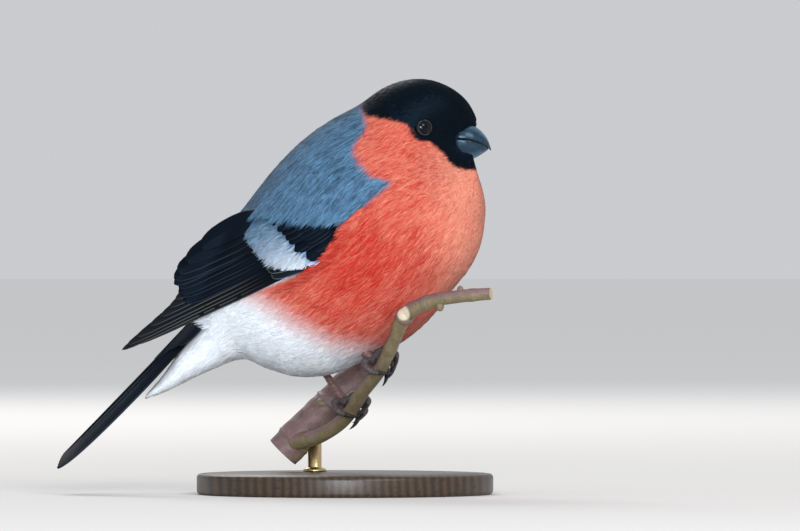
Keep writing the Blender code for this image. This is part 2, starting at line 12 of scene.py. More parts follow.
import bpy
import numpy as np
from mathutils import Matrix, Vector

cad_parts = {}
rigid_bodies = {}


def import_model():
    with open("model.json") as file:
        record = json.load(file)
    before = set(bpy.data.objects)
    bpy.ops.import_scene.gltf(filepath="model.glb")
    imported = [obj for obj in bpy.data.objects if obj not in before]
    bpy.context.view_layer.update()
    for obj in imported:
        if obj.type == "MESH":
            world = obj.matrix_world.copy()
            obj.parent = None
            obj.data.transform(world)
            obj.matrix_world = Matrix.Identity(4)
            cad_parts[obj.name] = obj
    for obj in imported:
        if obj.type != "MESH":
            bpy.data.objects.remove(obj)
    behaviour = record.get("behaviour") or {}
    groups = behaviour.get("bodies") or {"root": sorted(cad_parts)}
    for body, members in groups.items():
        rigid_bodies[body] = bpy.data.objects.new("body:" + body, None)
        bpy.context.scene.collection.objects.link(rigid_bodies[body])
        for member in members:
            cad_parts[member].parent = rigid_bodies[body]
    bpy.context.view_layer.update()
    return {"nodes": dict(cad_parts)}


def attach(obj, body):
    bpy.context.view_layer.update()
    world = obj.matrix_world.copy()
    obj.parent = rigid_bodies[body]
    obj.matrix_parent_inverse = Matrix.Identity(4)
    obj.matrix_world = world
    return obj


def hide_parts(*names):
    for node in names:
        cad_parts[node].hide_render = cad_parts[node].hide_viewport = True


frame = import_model()
MM = 0.001
print("parts in the frame:", len(frame["nodes"]))

# %% [markdown]
# ## The camera
# A long lens from far off flattens the bird as a wildlife photographer's does. Its sensor is 36 mm wide
# and it looks level along +Y, so that the picture is 232 mm wide where the bird sits.

# %% Camera
CAMERA_PLACE = (0.01595, -2.5, 0.0663)
CAMERA_LENS = 388.0

camera = bpy.data.objects.new("camera", bpy.data.cameras.new("camera"))
bpy.context.scene.collection.objects.link(camera)
camera.data.lens = CAMERA_LENS
camera.data.sensor_width = 36.0
camera.location = CAMERA_PLACE
camera.rotation_euler = (math.radians(90), 0, 0)
bpy.context.scene.camera = camera
print("camera", tuple(camera.location))

# %% [markdown]
# ## Helpers for curves
# Nature has few straight lines. A Catmull-Rom curve passes through every row of a table and keeps its
# slope smooth from one row to the next, so a handful of measured rows is enough for a whole body.

# %% Curves
def smooth(table, u):
    """The Catmull-Rom curve through a table's rows, read at u, an array of any shape from 0 to the last row.
    Between two rows it is the cubic that meets both with half the step between their neighbours as slope."""
    table = np.asarray(table, float)
    u = np.clip(np.asarray(u, float), 0, len(table) - 1)
    i = np.minimum(u.astype(int), len(table) - 2)
    t = (u - i)[..., None]
    start, end = table[i], table[i + 1]
    slope_in = (end - table[np.maximum(i - 1, 0)]) / 2
    slope_out = (table[np.minimum(i + 2, len(table) - 1)] - start) / 2
    return (
        start * (2 * t**3 - 3 * t**2 + 1)
        + slope_in * (t**3 - 2 * t**2 + t)
        + end * (3 * t**2 - 2 * t**3)
        + slope_out * (t**3 - t**2)
    )


def ease(low, high, value):
    """0 up to low, 1 from high on, and the smooth cubic 3t2 - 2t3 between them."""
    t = np.clip((value - low) / (high - low), 0, 1)
    return t * t * (3 - 2 * t)


def unit(vectors):
    """Vectors scaled to length 1."""
    return vectors / np.maximum(np.linalg.norm(vectors, axis=-1, keepdims=True), 1e-9)


print("halfway through 0, 1, 4:", smooth([[0], [1], [4]], np.array([1.0])))

# %% [markdown]
# ## From arrays to meshes
# Every piece goes through one function. It stores the corners, the triangles and any numbers that the
# finish wants to read, such as how far along a feather a point lies. The map named OFBake tells a baker
# where each face has its own patch of picture. A closed mesh whose signed volume is negative is inside
# out, so it is turned round.

# %% Meshes
def outwards(points, faces):
    """The faces, turned round if the volume they hold, a sixth of the sum of a . (b x c), is negative."""
    a, b, c = (points[faces[:, n]] for n in range(3))
    return faces if (a * np.cross(b, c)).sum() > 0 else faces[:, ::-1]


def put_mesh(name, points, faces, finish, slot, replaced, numbers=None, unwrap=None, normals=None):
    """A mesh object from places in millimetres and triangles, with its finish and replaced nodes. slot is
    not used.
    """
    points = np.asarray(points, float).reshape(-1, 3)
    turned = outwards(points, faces)
    if unwrap is not None and turned is not faces:
        unwrap = unwrap.reshape(-1, 3, 2)[:, ::-1]
    mesh = bpy.data.meshes.new(name)
    mesh.vertices.add(len(points))
    mesh.vertices.foreach_set("co", (points * MM).astype(np.float32).ravel())
    mesh.loops.add(turned.size)
    mesh.loops.foreach_set("vertex_index", turned.astype(np.int32).ravel())
    mesh.polygons.add(len(turned))
    mesh.polygons.foreach_set("loop_start", np.arange(0, turned.size, 3, dtype=np.int32))
    mesh.update(calc_edges=True)
    mesh.shade_smooth()
    for label, values in (numbers or {}).items():
        layer = mesh.attributes.new(label, "FLOAT_COLOR", "POINT")
        layer.data.foreach_set("color", values.astype(np.float32).ravel())
    if unwrap is not None:
        layer = mesh.uv_layers.new(name="OFBake")
        layer.data.foreach_set("uv", unwrap.astype(np.float32).ravel())
    if normals is not None:
        layer = mesh.attributes.new("custom_normal", "FLOAT_VECTOR", "CORNER")
        layer.data.foreach_set("vector", normals.astype(np.float32).ravel())
    mesh.materials.append(finish)
    piece = bpy.data.objects.new(name, mesh)
    bpy.context.scene.collection.objects.link(piece)
    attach(piece, "root")
    if replaced:
        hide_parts(*replaced)
    print(name, len(turned), "triangles")
    return piece


def loft_faces(rows, sides):
    """Triangles between rings of points, and a fan from each end ring to a middle point after the rings."""
    i, j = np.meshgrid(np.arange(rows - 1), np.arange(sides), indexing="ij")
    k = (j + 1) % sides
    a, b, c, d = i * sides + j, i * sides + k, (i + 1) * sides + k, (i + 1) * sides + j
    walls = np.stack([np.stack([a, b, c], -1), np.stack([a, c, d], -1)], 2).reshape(-1, 3)
    j = np.arange(sides)
    k = (j + 1) % sides
    first = np.stack([np.full(sides, rows * sides), k, j], -1)
    last = np.stack([np.full(sides, rows * sides + 1), (rows - 1) * sides + j, (rows - 1) * sides + k], -1)
    return np.concatenate([walls, first, last])


def loft_points(rings):
    """The rings' points, then the middle of the first ring and of the last."""
    ends = np.stack([rings[0].mean(axis=0), rings[-1].mean(axis=0)])
    return np.concatenate([rings.reshape(-1, rings.shape[-1]), ends])


def joined(parts):
    """Several (points, faces) as one, with the corner numbers moved on."""
    points = np.concatenate([part[0] for part in parts])
    starts = np.cumsum([0] + [len(part[0]) for part in parts[:-1]])
    return points, np.concatenate([part[1] + start for part, start in zip(parts, starts)])


def channels(*values):
    """Numbers for a finish, one row for each corner, from arrays and plain numbers spread to one shape."""
    return np.stack(np.broadcast_arrays(*values), axis=-1)


def two_triangles(a, b, c, d):
    """The two triangles of each face with corners a, b, c and d."""
    return np.concatenate([np.stack([a, b, c], -1).reshape(-1, 3), np.stack([a, c, d], -1).reshape(-1, 3)])


ASIDE = (0.31, 0.93, 0.17)


def tube(route, sides, steps, wobble=None):
    """Rings square to a smooth route of (x, y, z, radius), which never runs along ASIDE. wobble(t, turn)
    multiplies the radius."""
    place = np.linspace(0, len(route) - 1, steps)
    line = smooth(route, place)
    centre, radius = line[:, :3], line[:, 3]
    along = unit(np.gradient(centre, axis=0))
    side = unit(np.cross(along, ASIDE))
    up = np.cross(side, along)
    turn = np.linspace(0, 2 * math.pi, sides, endpoint=False)
    grow = 1.0 if wobble is None else wobble(place[:, None] / (len(route) - 1), turn[None])
    reach = (radius[:, None] * grow)[..., None]
    spoke = np.cos(turn)[None, :, None] * side[:, None] + np.sin(turn)[None, :, None] * up[:, None]
    return centre[:, None] + reach * spoke


print("a ring of 8 on 3 rows has", len(loft_faces(3, 8)), "triangles")

# %% [markdown]
# ## Building a finish from nodes
# A finish is a small graph of nodes that ends in the Principled shader. These helpers add a node, mix two
# colours and raise a bump, so that each finish below reads as a short recipe.

# %% Node helpers
NOISE_ROUGHNESS = 0.55


class Recipe:
    """A material under construction. A value given to a method is a socket or a plain number or colour."""

    def __init__(self, name, **settings):
        self.finish = bpy.data.materials.new(name)
        self.finish.use_nodes = True
        self.tree = self.finish.node_tree
        self.shader = self.tree.nodes["Principled BSDF"]
        for label, value in settings.items():
            self.feed(self.shader.inputs[label.replace("_", " ")], value)

    def feed(self, socket, value):
        """Links a socket to the input, or sets the input to a number or a colour."""
        if isinstance(value, bpy.types.NodeSocket):
            self.tree.links.new(value, socket)
        elif isinstance(value, tuple) and len(value) == 3 and socket.type == "RGBA":
            socket.default_value = (*value, 1.0)
        else:
            socket.default_value = value

    def add(self, kind, options=(), **inputs):
        """A node with its options set and its inputs fed. An underscore in an input's name is a space."""
        node = self.tree.nodes.new(kind)
        for label, value in dict(options).items():
            setattr(node, label, value)
        for label, value in inputs.items():
            self.feed(node.inputs[label.replace("_", " ")], value)
        return node

    def math(self, how, first, second=0.0):
        """One sum on one or two numbers."""
        node = self.add("ShaderNodeMath", {"operation": how})
        self.feed(node.inputs[0], first)
        self.feed(node.inputs[1], second)
        return node.outputs[0]

    def mix(self, share, first, second):
        """Two colours mixed. The node keeps sockets 6 and 7 and result 2 for colours."""
        node = self.add("ShaderNodeMix", {"data_type": "RGBA"})
        self.feed(node.inputs[0], share)
        self.feed(node.inputs[6], first)
        self.feed(node.inputs[7], second)
        return node.outputs[2]

    def span(self, value, low, high, out_low=0.0, out_high=1.0):
        """A value eased from out_low, where it is low, to out_high, where it is high."""
        node = self.add("ShaderNodeMapRange", {"interpolation_type": "SMOOTHSTEP"}, Value=value)
        ends = {"From Min": low, "From Max": high, "To Min": out_low, "To Max": out_high}
        for label, number in ends.items():
            node.inputs[label].default_value = number
        return node.outputs["Result"]

    def number(self, label):
        """The three channels of a stored colour, and its alpha."""
        node = self.add("ShaderNodeAttribute", {"attribute_name": label})
        split = self.add("ShaderNodeSeparateColor", Color=node.outputs["Color"])
        return (*split.outputs[:3], node.outputs["Alpha"])

    def place(self):
        """Where a point lies on the piece, in metres."""
        return self.add("ShaderNodeTexCoord").outputs["Object"]

    def length(self, vector):
        """How long a vector is."""
        return self.add("ShaderNodeVectorMath", {"operation": "LENGTH"}, Vector=vector).outputs["Value"]

    def shade(self, colour, share):
        """A colour with its light multiplied by share."""
        node = self.add("ShaderNodeVectorMath", {"operation": "SCALE"}, Vector=colour, Scale=share)
        return node.outputs[0]

    def noise(self, scale, detail, stretch=(1, 1, 1)):
        """A noise pattern on the piece's own coordinates. scale is in features to the metre."""
        spread = self.add("ShaderNodeMapping", Vector=self.place(), Scale=stretch).outputs[0]
        settings = {"Scale": scale, "Detail": detail, "Roughness": NOISE_ROUGHNESS}
        return self.add("ShaderNodeTexNoise", Vector=spread, **settings).outputs["Fac"]

    def bump(self, height, distance, strength):
        """Fine relief: the surface seems to rise by distance, in metres, where height is 1."""
        node = self.add("ShaderNodeBump", Height=height, Distance=distance, Strength=strength)
        self.feed(self.shader.inputs["Normal"], node.outputs[0])

    def colour(self, value):
        """Sets the colour and gives back the finished material."""
        self.feed(self.shader.inputs["Base Color"], value)
        return self.finish


print("finishes so far:", len(bpy.data.materials))

# %% [markdown]
# ## The body's form
# Twenty stations are strung from the bill's root to the tip of the undertail coverts. Each gives the upper
# and lower end of a slice seen from the side, half its width, and how much wider it is below its middle.
# The whole body is then one function of two numbers: u counts the stations, and v turns round the slice,
# 0 on the back, a quarter on the right side and a half on the belly. Feathers later lie along u.

# %% Body
STATIONS = np.array(
    [
        (38.4, 107.4, 34.8, 96.6, 2.0, 0.00),  # round the bill's root
        (37.4, 110.5, 35.9, 95.2, 4.4, 0.00),  # brow and chin
        (34.8, 114.5, 37.4, 94.0, 7.0, 0.00),
        (30.2, 118.0, 39.4, 89.6, 9.9, 0.02),  # crown and throat
        (24.1, 120.1, 40.6, 83.8, 12.7, 0.05),
        (17.4, 119.9, 40.3, 78.0, 15.4, 0.08),
        (10.7, 117.4, 39.1, 71.9, 18.3, 0.14),  # back of the cap and breast
        (4.1, 112.8, 36.2, 65.8, 21.6, 0.17),
        (-4.3, 108.2, 31.0, 59.2, 24.4, 0.14),  # mantle
        (-13.0, 101.8, 24.6, 51.0, 25.8, 0.10),
        (-20.6, 94.0, 16.8, 44.4, 25.8, 0.06),  # back and belly
        (-27.5, 85.3, 6.7, 39.4, 24.6, 0.04),
        (-32.2, 78.9, -3.2, 35.1, 22.0, 0.02),
        (-35.7, 71.3, -13.6, 34.2, 18.4, 0.00),  # rump and vent
        (-38.9, 64.4, -22.3, 36.5, 14.2, 0.00),
        (-41.2, 56.3, -29.6, 39.4, 10.2, 0.00),
        (-42.6, 49.0, -36.5, 37.1, 7.2, 0.00),  # undertail coverts
        (-47.3, 42.2, -44.4, 33.6, 5.2, 0.00),
        (-52.5, 34.6, -51.9, 29.9, 3.2, 0.00),
        (-57.4, 28.9, -57.9, 27.8, 0.8, 0.00),
    ]
)
HEAD_BLUNT = 0.40
HEAD_STATION = 4.5
HEAD_REACH = 3.0
FACE_PINCH = 0.73
FACE_AT = np.array([36.0, 101.0])
FACE_REACH = np.array([12.5, 9.5])
LAST = len(STATIONS) - 1
BODY_STEPS = (0.03, 0.004)


def body(u, v):
    """A place on the body. A slice is an ellipse: its middle plus an arm times cos(turn), and half its width
    times sin(turn) across. The lower half is wider by the swell, and the crown's sine has a lower power.
    A smooth bell, exp(-d2), narrows the face towards the bill's root."""
    u, v = np.broadcast_arrays(np.asarray(u, float), np.asarray(v, float))
    line = smooth(STATIONS, u)
    turn = 2 * math.pi * v
    reach, width = np.cos(turn), np.sin(turn)
    power = 1 - HEAD_BLUNT * np.exp(-(((u - HEAD_STATION) / HEAD_REACH) ** 2))
    width = np.where(reach > 0, np.sign(width) * np.abs(width) ** power, width)
    middle = (line[..., 0:2] + line[..., 2:4]) / 2
    arm = (line[..., 0:2] - line[..., 2:4]) / 2
    place = middle + arm * reach[..., None]
    near = np.exp(-(((place - FACE_AT) / FACE_REACH) ** 2).sum(axis=-1))
    across = -line[..., 4] * (1 - FACE_PINCH * near) * width * (1 - line[..., 5] * reach)
    return np.stack([place[..., 0], across, place[..., 1]], axis=-1)


def slopes(surface, a, b, step_a, step_b):
    """The two slopes of a surface, half the difference of its places one small step to either side."""
    along = (surface(a + step_a, b) - surface(a - step_a, b)) / (2 * step_a)
    across = (surface(a, b + step_b) - surface(a, b - step_b)) / (2 * step_b)
    return along, across


def body_out(u, v):
    """The way out of the body, square to both slopes."""
    inner = np.clip(u, BODY_STEPS[0], LAST - BODY_STEPS[0])
    along, across = slopes(body, inner, v, *BODY_STEPS)
    return unit(np.cross(along, across))


print("widest place of the body", 2 * STATIONS[:, 4].max(), "mm")

# %% [markdown]
# ## How far the body reaches sideways
# Folded wings lie on the body's sides, so their feathers need to know how deep the side is at a place seen
# from the side. A map of square cells is filled from a dense set of body places and then read between its
# cells. This is quicker than a search for each feather.

# %% Side map
CELL = 0.8
MAP_LOW = np.array([-75.0, 15.0])
MAP_SIZE = (160, 140)


def side_map():
    """The body's half width in each cell of a side view. Cells outside its outline stay at 0."""
    u, v = np.meshgrid(np.linspace(0, LAST, 500), np.linspace(0.004, 0.496, 260), indexing="ij")
    places = body(u, v).reshape(-1, 3)
    spot = np.round((places[:, [0, 2]] - MAP_LOW) / CELL).astype(int)
    total, count = np.zeros(MAP_SIZE), np.zeros(MAP_SIZE)
    np.add.at(total, (spot[:, 0], spot[:, 1]), -places[:, 1])
    np.add.at(count, (spot[:, 0], spot[:, 1]), 1)
    return total / np.maximum(count, 1)


SIDE_MAP = side_map()


def side_depth(x, z):
    """The map read between its cells, by the four nearest ones."""
    spot = (np.stack([x, z], -1) - MAP_LOW) / CELL
    spot = np.clip(spot, 0, np.array(MAP_SIZE) - 1.001)
    i, t = spot.astype(int), spot % 1
    p, q = i[..., 0], i[..., 1]
    low = SIDE_MAP[p, q] * (1 - t[..., 0]) + SIDE_MAP[p + 1, q] * t[..., 0]
    high = SIDE_MAP[p, q + 1] * (1 - t[..., 0]) + SIDE_MAP[p + 1, q + 1] * t[..., 0]
    return low * (1 - t[..., 1]) + high * t[..., 1]


WING_LIFT = 0.9
WING_SINK = 0.4
SHELF = np.array([(-66.0, 4.5), (-46.0, 8.5), (-30.0, 12.0)])
SHELF_TOP = (97.0, 80.0)
SHELF_BLEND = 3.0


def wing_depth(x, z):
    """How far out the folded wing's inner face lies. It is a soft maximum of the body's side and of a shelf
    that narrows backwards: (side + shelf + sqrt((side - shelf)**2 + blend**2)) / 2, less the sink."""
    side = side_depth(x, z) + WING_LIFT
    shelf = np.interp(x, SHELF[:, 0], SHELF[:, 1]) * ease(*SHELF_TOP, z)
    return (side + shelf + np.sqrt((side - shelf) ** 2 + SHELF_BLEND**2)) / 2 - WING_SINK


print("the side lies", round(float(side_depth(np.array(0.0), np.array(80.0))), 1), "mm out at the shoulder")

# %% [markdown]
# ## Where the colours change
# A cock bullfinch has a black cap and bib, a rose breast, an ash-grey mantle and a white rump and vent.
# The edges between them are curves in the side view, the same on both sides of the bird, and a patch of
# black lies round each eye. One function turns a place into shares of black, red and white. Both the skin
# and the feathers read it, so that they always agree. What is left over is grey. The fourth number says how
# pale the red is: less so low on the breast and on the cheek, and more towards the front, where the extra
# paleness is a painted highlight.

# %% Markings
# An eye's place in the side view, and the distances from it at which the black ends and is full.
EYE_AT = (22.9, 106.1)
EYE_BLACK = (4.4, 3.5)
# Nearer to the middle plane than HEAD_SIDE there is no eye, and NO_EYE is added to the distance.
HEAD_SIDE = 5.0
NO_EYE = 20.0
# Over what distance from its edge each colour comes in, and over what height the rump does.
CAP_FADE = (-0.5, 0.5)
RED_FADE = (-1.0, 1.0)
WHITE_FADE = (6.0, -4.5)
RUMP_FADE = (78.0, 73.0)
# Places where the red is deeper, with their reach, and where a painted highlight pales it to the front.
LOW_BREAST = ((3.0, 66.0), (17.0, 17.0))
CHEEK = ((14.0, 99.0), (9.0, 8.0))
FRONT_HIGHLIGHT = (20.0, 38.0)
CAP_EDGE = np.array(
    [(2.0, 126.0), (3.6, 115.5), (4.8, 110.6), (6.2, 109.2), (11.9, 108.1), (18.0, 106.8), (20.3, 104.8),
     (23.2, 102.9), (25.8, 100.8), (28.4, 98.4), (29.9, 96.2), (31.9, 94.5), (34.5, 93.8), (46.0, 93.8)]
)
GREY_EDGE = np.array(
    [(50.0, -60.0), (55.0, -37.0), (58.3, -27.0), (61.5, -18.6), (65.0, -10.7), (70.0, -3.5), (76.0, -0.6),
     (80.0, 2.5), (85.0, 7.6), (88.4, 12.0), (90.0, 12.6), (91.6, 7.0), (95.0, 3.6), (99.2, 1.8),
     (102.0, 3.2), (105.3, 5.6), (109.3, 5.2), (113.0, 4.2), (120.0, 3.0)]
)
WHITE_EDGE = np.array(
    [(-60.0, 70.0), (-34.0, 59.5), (-26.0, 55.5), (-16.0, 48.5), (-4.4, 42.5), (6.0, 40.5), (20.0, 37.0),
     (45.0, 30.0)]
)


def over(edge, first, second):
    """The distance of (first, second) above a curve second = f(first), read between the curve's points."""
    height = np.interp(first, edge[:, 0], edge[:, 1])
    slope = np.interp(first + 0.4, edge[:, 0], edge[:, 1]) - np.interp(first - 0.4, edge[:, 0], edge[:, 1])
    return (second - height) / np.sqrt(1 + (slope / 0.8) ** 2)


def bell(first, second, middle, reach):
    """A smooth hump, exp(-d2), where d is the distance from its middle as a share of its reach."""
    return np.exp(-(((first - middle[0]) / reach[0]) ** 2) - ((second - middle[1]) / reach[1]) ** 2)


def from_eye(places):
    """How far places are from an eye in the side view. Close to the head's middle plane, where there is no
    eye, a large distance is added."""
    distance = np.hypot(places[..., 0] - EYE_AT[0], places[..., 2] - EYE_AT[1])
    return distance + NO_EYE * (np.abs(places[..., 1]) < HEAD_SIDE)


def markings(places):
    """Shares of black, red and white at each place, and how pale its red is, with a painted highlight to the
    front.
    """
    x, z = places[..., 0], places[..., 2]
    black = np.maximum(ease(*CAP_FADE, over(CAP_EDGE, x, z)), ease(*EYE_BLACK, from_eye(places)))
    red = ease(*RED_FADE, over(GREY_EDGE, z, x))
    rump = ease(*RUMP_FADE, z) * (1 - red)
    white = np.maximum(ease(*WHITE_FADE, over(WHITE_EDGE, x, z)), rump)
    low, cheek, front = bell(x, z, *LOW_BREAST), bell(x, z, *CHEEK), ease(*FRONT_HIGHLIGHT, x)
    # The paler red towards the front is a painted highlight.
    pale = np.clip(0.46 - 0.42 * low - 0.06 * cheek + 0.62 * front, 0, 1)
    return np.stack([black, red, white, pale], axis=-1)


print("markings on the cheek", markings(np.array([15.0, -15.0, 100.0])).round(2))

# %% [markdown]
# ## The finish of small feathers
# Small feathers have no sharp gloss, but black ones shine a little blue. Their colours come from the stored
# shares of black, red and white. Each barb is darker at its root, for the grey down that shows through there
# and as painted shade deep in the coat, and has a tone of its own, which gives the coat its silky streaks.
# The constant gloss values are set on the shader itself, once for each kind of plumage.

# %% Plumage finish
BLACK = (0.0010, 0.0020, 0.0040)
RED_DEEP = (0.48, 0.022, 0.012)
RED_PALE = (0.78, 0.275, 0.185)
GREY_DEEP = (0.0095, 0.036, 0.074)
GREY_PALE = (0.120, 0.262, 0.430)
WHITE_DEEP = (0.78, 0.85, 0.94)
WHITE_PALE = (0.93, 0.97, 1.0)


def plumage(name, roughness, specular, sheen):
    """Mixes the four colours by their shares, then darkens each barb towards its root, for its grey base and
    as painted shade.
    """
    gloss = {"Roughness": roughness, "Specular_IOR_Level": specular, "Sheen_Weight": sheen}
    recipe = Recipe(name, Sheen_Roughness=0.6, **gloss)
    black, red, white, pale = recipe.number("markings")
    along, tone, warmth, _ = recipe.number("barb")
    patch = recipe.noise(260.0, 3.0)
    blend = recipe.math("ADD", recipe.math("MULTIPLY", tone, 0.85), recipe.math("MULTIPLY", patch, 0.15))
    grey = recipe.mix(blend, GREY_DEEP, GREY_PALE)
    paler = recipe.math("ADD", pale, recipe.math("MULTIPLY", recipe.math("SUBTRACT", warmth, 0.5), 0.9))
    rose = recipe.mix(paler, RED_DEEP, RED_PALE)
    snow = recipe.mix(blend, WHITE_DEEP, WHITE_PALE)
    colour = recipe.mix(red, grey, rose)
    colour = recipe.mix(white, colour, snow)
    colour = recipe.mix(black, colour, BLACK)
    # Darker towards the root: partly the grey base of each barb, partly painted shade deep in the coat.
    root_grey_and_shade = recipe.span(along, 0.0, 0.6, 0.76, 1.0)
    by_tone = recipe.span(tone, 0.0, 1.0, 0.90, 1.07)
    return recipe.colour(recipe.shade(colour, recipe.math("MULTIPLY", root_grey_and_shade, by_tone)))


CAP_GLOSS = (0.30, 0.62, 1.0, 1.0)
soft_plumage = plumage("soft_plumage", 0.80, 0.15, 0.08)
cap_plumage = plumage("cap_plumage", 0.42, 0.16, 0.0)
cap_plumage.node_tree.nodes["Principled BSDF"].inputs["Specular Tint"].default_value = CAP_GLOSS
print("plumage finishes made")

# %% [markdown]
# ## The skin under the feathers
# One closed skin takes the place of head, neck, torso and vent, so that no seam shows. It lies inside the
# outline by the depth of the coat: hardly at all round the bill, and nearly a millimetre on the belly.

# %% Skin
COAT_DEPTH = np.array(
    [(0.0, 0.20), (1.5, 0.3), (4.0, 0.45), (7.0, 0.7), (10.0, 0.9), (15.0, 0.9), (17.0, 0.7), (19.0, 0.3)]
)
SKIN_ROWS = 170
SKIN_SIDES = 128
# What the finish reads on the skin, as if it were a place along one barb.
SKIN_BARB = (0.35, 0.4, 0.5, 1.0)
UNWRAP_FROM = (0.03, 0.02)
UNWRAP_REACH = (0.94, 0.96)


def coat_depth(u):
    """How deep the skin lies under the tips of the feathers at station u."""
    return np.interp(u, COAT_DEPTH[:, 0], COAT_DEPTH[:, 1])


def on_map(u, v):
    """The skin's own unwrap: stations run across the map and the turn round the body runs up it."""
    across = UNWRAP_FROM[0] + UNWRAP_REACH[0] * u / LAST
    return np.stack([across, UNWRAP_FROM[1] + UNWRAP_REACH[1] * v], axis=-1)


def make_skin():
    """The skin as rings of points. On the map, faces across the seam on the back are moved on by a turn."""
    u, v = np.meshgrid(np.linspace(0, LAST, SKIN_ROWS), np.arange(SKIN_SIDES) / SKIN_SIDES, indexing="ij")
    rings = body(u, v) - body_out(u, v) * coat_depth(u)[..., None]
    points = loft_points(rings)
    faces = loft_faces(SKIN_ROWS, SKIN_SIDES)
    shares = markings(points)
    barbs = np.tile(SKIN_BARB, (len(points), 1))
    spots = loft_points(on_map(u, v))
    unwrap = spots[faces]
    seam = np.ptp(unwrap[..., 1], axis=1, keepdims=True) > 0.5
    unwrap[..., 1] += UNWRAP_REACH[1] * (seam & (unwrap[..., 1] < 0.5))
    unwrap = np.clip(unwrap, 0.0, 1.0)
    nodes = ("head", "neck", "torso", "vent")
    numbers = {"markings": shares, "barb": barbs}
    put_mesh("skin", points, faces, soft_plumage, "red_feathers", nodes, numbers, unwrap)


make_skin()

# %% [markdown]
# ## Scattering feathers evenly
# Feathers grow in rows, never in heaps. A low-discrepancy sequence, which steps by fractions of the plastic
# number, fills a square evenly, and a table of running sums bends it to the density that each place needs.

# %% Scatter
PLASTIC = 1.32471795724474602596


def scatter(density, surface, steps_a, steps_b, range_a, range_b, seed):
    """Places (a, b) on a surface with density(a, b, place) of them for each square millimetre.
    The cells' areas times their density are summed along rows and then within a row, and each point of the
    sequence is looked up in both sums."""
    edges_a, edges_b = np.linspace(*range_a, steps_a + 1), np.linspace(*range_b, steps_b + 1)
    a, b = np.meshgrid((edges_a[1:] + edges_a[:-1]) / 2, (edges_b[1:] + edges_b[:-1]) / 2, indexing="ij")
    size_a, size_b = edges_a[1] - edges_a[0], edges_b[1] - edges_b[0]
    along, across = slopes(surface, a, b, size_a / 2, size_b / 2)
    stretch = np.linalg.norm(np.cross(along, across), axis=-1)
    weight = stretch * size_a * size_b * density(a, b, surface(a, b))
    rows, total = weight.sum(axis=1), weight.sum()
    n = np.arange(int(total)) + 1
    first, second = (0.5 + seed + n / PLASTIC) % 1, (0.5 + seed * 2 + n / PLASTIC**2) % 1
    sums = np.concatenate([[0], np.cumsum(rows) / total])
    row = np.clip(np.searchsorted(sums, first, side="right") - 1, 0, steps_a - 1)
    part_a = (first - sums[row]) / np.maximum(sums[row + 1] - sums[row], 1e-12)
    within = np.cumsum(weight, axis=1) / np.maximum(rows, 1e-12)[:, None]
    flat = (within + np.arange(steps_a)[:, None]).ravel()
    cell = np.clip(np.searchsorted(flat, row + second * 0.999999), 0, flat.size - 1)
    column = np.clip(cell - row * steps_b, 0, steps_b - 1)
    before = np.where(column > 0, within[row, column - 1], 0)
    part_b = (second - before) / np.maximum(within[row, column] - before, 1e-12)
    found_a = edges_a[row] + np.clip(part_a, 0, 1) * size_a
    return found_a, edges_b[column] + np.clip(part_b, 0, 1) * size_b


print("plastic number cubed is itself plus one:", round(PLASTIC**3 - PLASTIC, 6))

# %% [markdown]
# ## One small feather
# A small feather has soft barbs that fan out from its shaft and close again at its tip. Each barb is a leaf
# of six triangles: a root sunk in the skin, a left and a right corner, a low ridge and a tip. The leaf bends
# at its middle, never inwards, so that it follows the body and keeps its faces outwards. Its stored normals
# are nearly the body's own, which makes the coat shine softly instead of glittering like cut glass.

# %% Leaves
LEAF = np.array([(0, 2, 3), (2, 4, 3), (4, 1, 3), (1, 0, 3), (0, 1, 4), (0, 4, 2)])
PATCH = 0.003
LEAF_PATCH = np.array([(0.0, -0.5), (-0.5, 0.0), (0.5, 0.0), (0.0, 0.0), (0.0, 0.5)]) * PATCH
# How far along the leaf each of its points lies, and where it bends.
LEAF_ALONG = np.array([0.0, 0.55, 0.55, 0.6, 1.0])
LEAF_BEND = 0.55
LEAF_RIDGE = 0.2
LEAF_ROLL = 0.16
LEAST_SAG = 0.03


def leaves(surface, out, a, b, lean, length, width, depth, lift, steps, limit, rng):
    """One leaf for each root (a, b). The two slopes at the root turn a way over the surface, lean radians
    off the way of a, into steps of a and b. The middle and the tip are then read from the surface itself."""
    along, across = slopes(surface, a, b, *steps)
    up = out(a, b)
    ahead = unit(along)
    aside = np.cross(up, ahead)
    slant = (across * aside).sum(-1)
    slant = np.where(np.abs(slant) < 1e-3, 1e-3, slant)
    step_b = np.sin(lean) / slant
    step_a = (np.cos(lean) - step_b * (across * ahead).sum(-1)) / np.linalg.norm(along, axis=-1)
    root = surface(a, b) - up * (0.7 * depth + 0.1)[:, None]
    mid_a, mid_b = np.clip(a + LEAF_BEND * length * step_a, *limit), b + LEAF_BEND * length * step_b
    tip_a, tip_b = np.clip(a + length * step_a, *limit), b + length * step_b
    mid_up = out(mid_a, mid_b)
    middle = surface(mid_a, mid_b) - mid_up * (0.15 * depth - 0.3 * lift)[:, None]
    tip = surface(tip_a, tip_b) + out(tip_a, tip_b) * lift[:, None]
    sag = ((root * 0.45 + tip * 0.55 - middle) * mid_up).sum(-1)
    middle = middle + mid_up * np.maximum(sag + LEAST_SAG, 0)[:, None]
    side = unit(np.cross(mid_up, tip - root))
    half = side * (width / 2)[:, None]
    ridge = middle + mid_up * (LEAF_RIDGE * width)[:, None]
    points = np.stack([root, middle + half, middle - half, ridge, tip], axis=1)
    roll = rng.normal(0, LEAF_ROLL, len(a))[:, None]
    shading = unit(mid_up + side * roll + unit(tip - root) * 0.12)
    return points, shading


def locks(rng, shape, barbs=5):
    """A random number that the few barbs of one lock share, a part of it with the whole feather."""
    lock = rng.normal(0, 1, (shape[0], shape[1] // barbs + 1)).repeat(barbs, axis=1)[:, : shape[1]]
    return 0.45 * rng.normal(0, 1, (shape[0], 1)) + 0.9 * lock


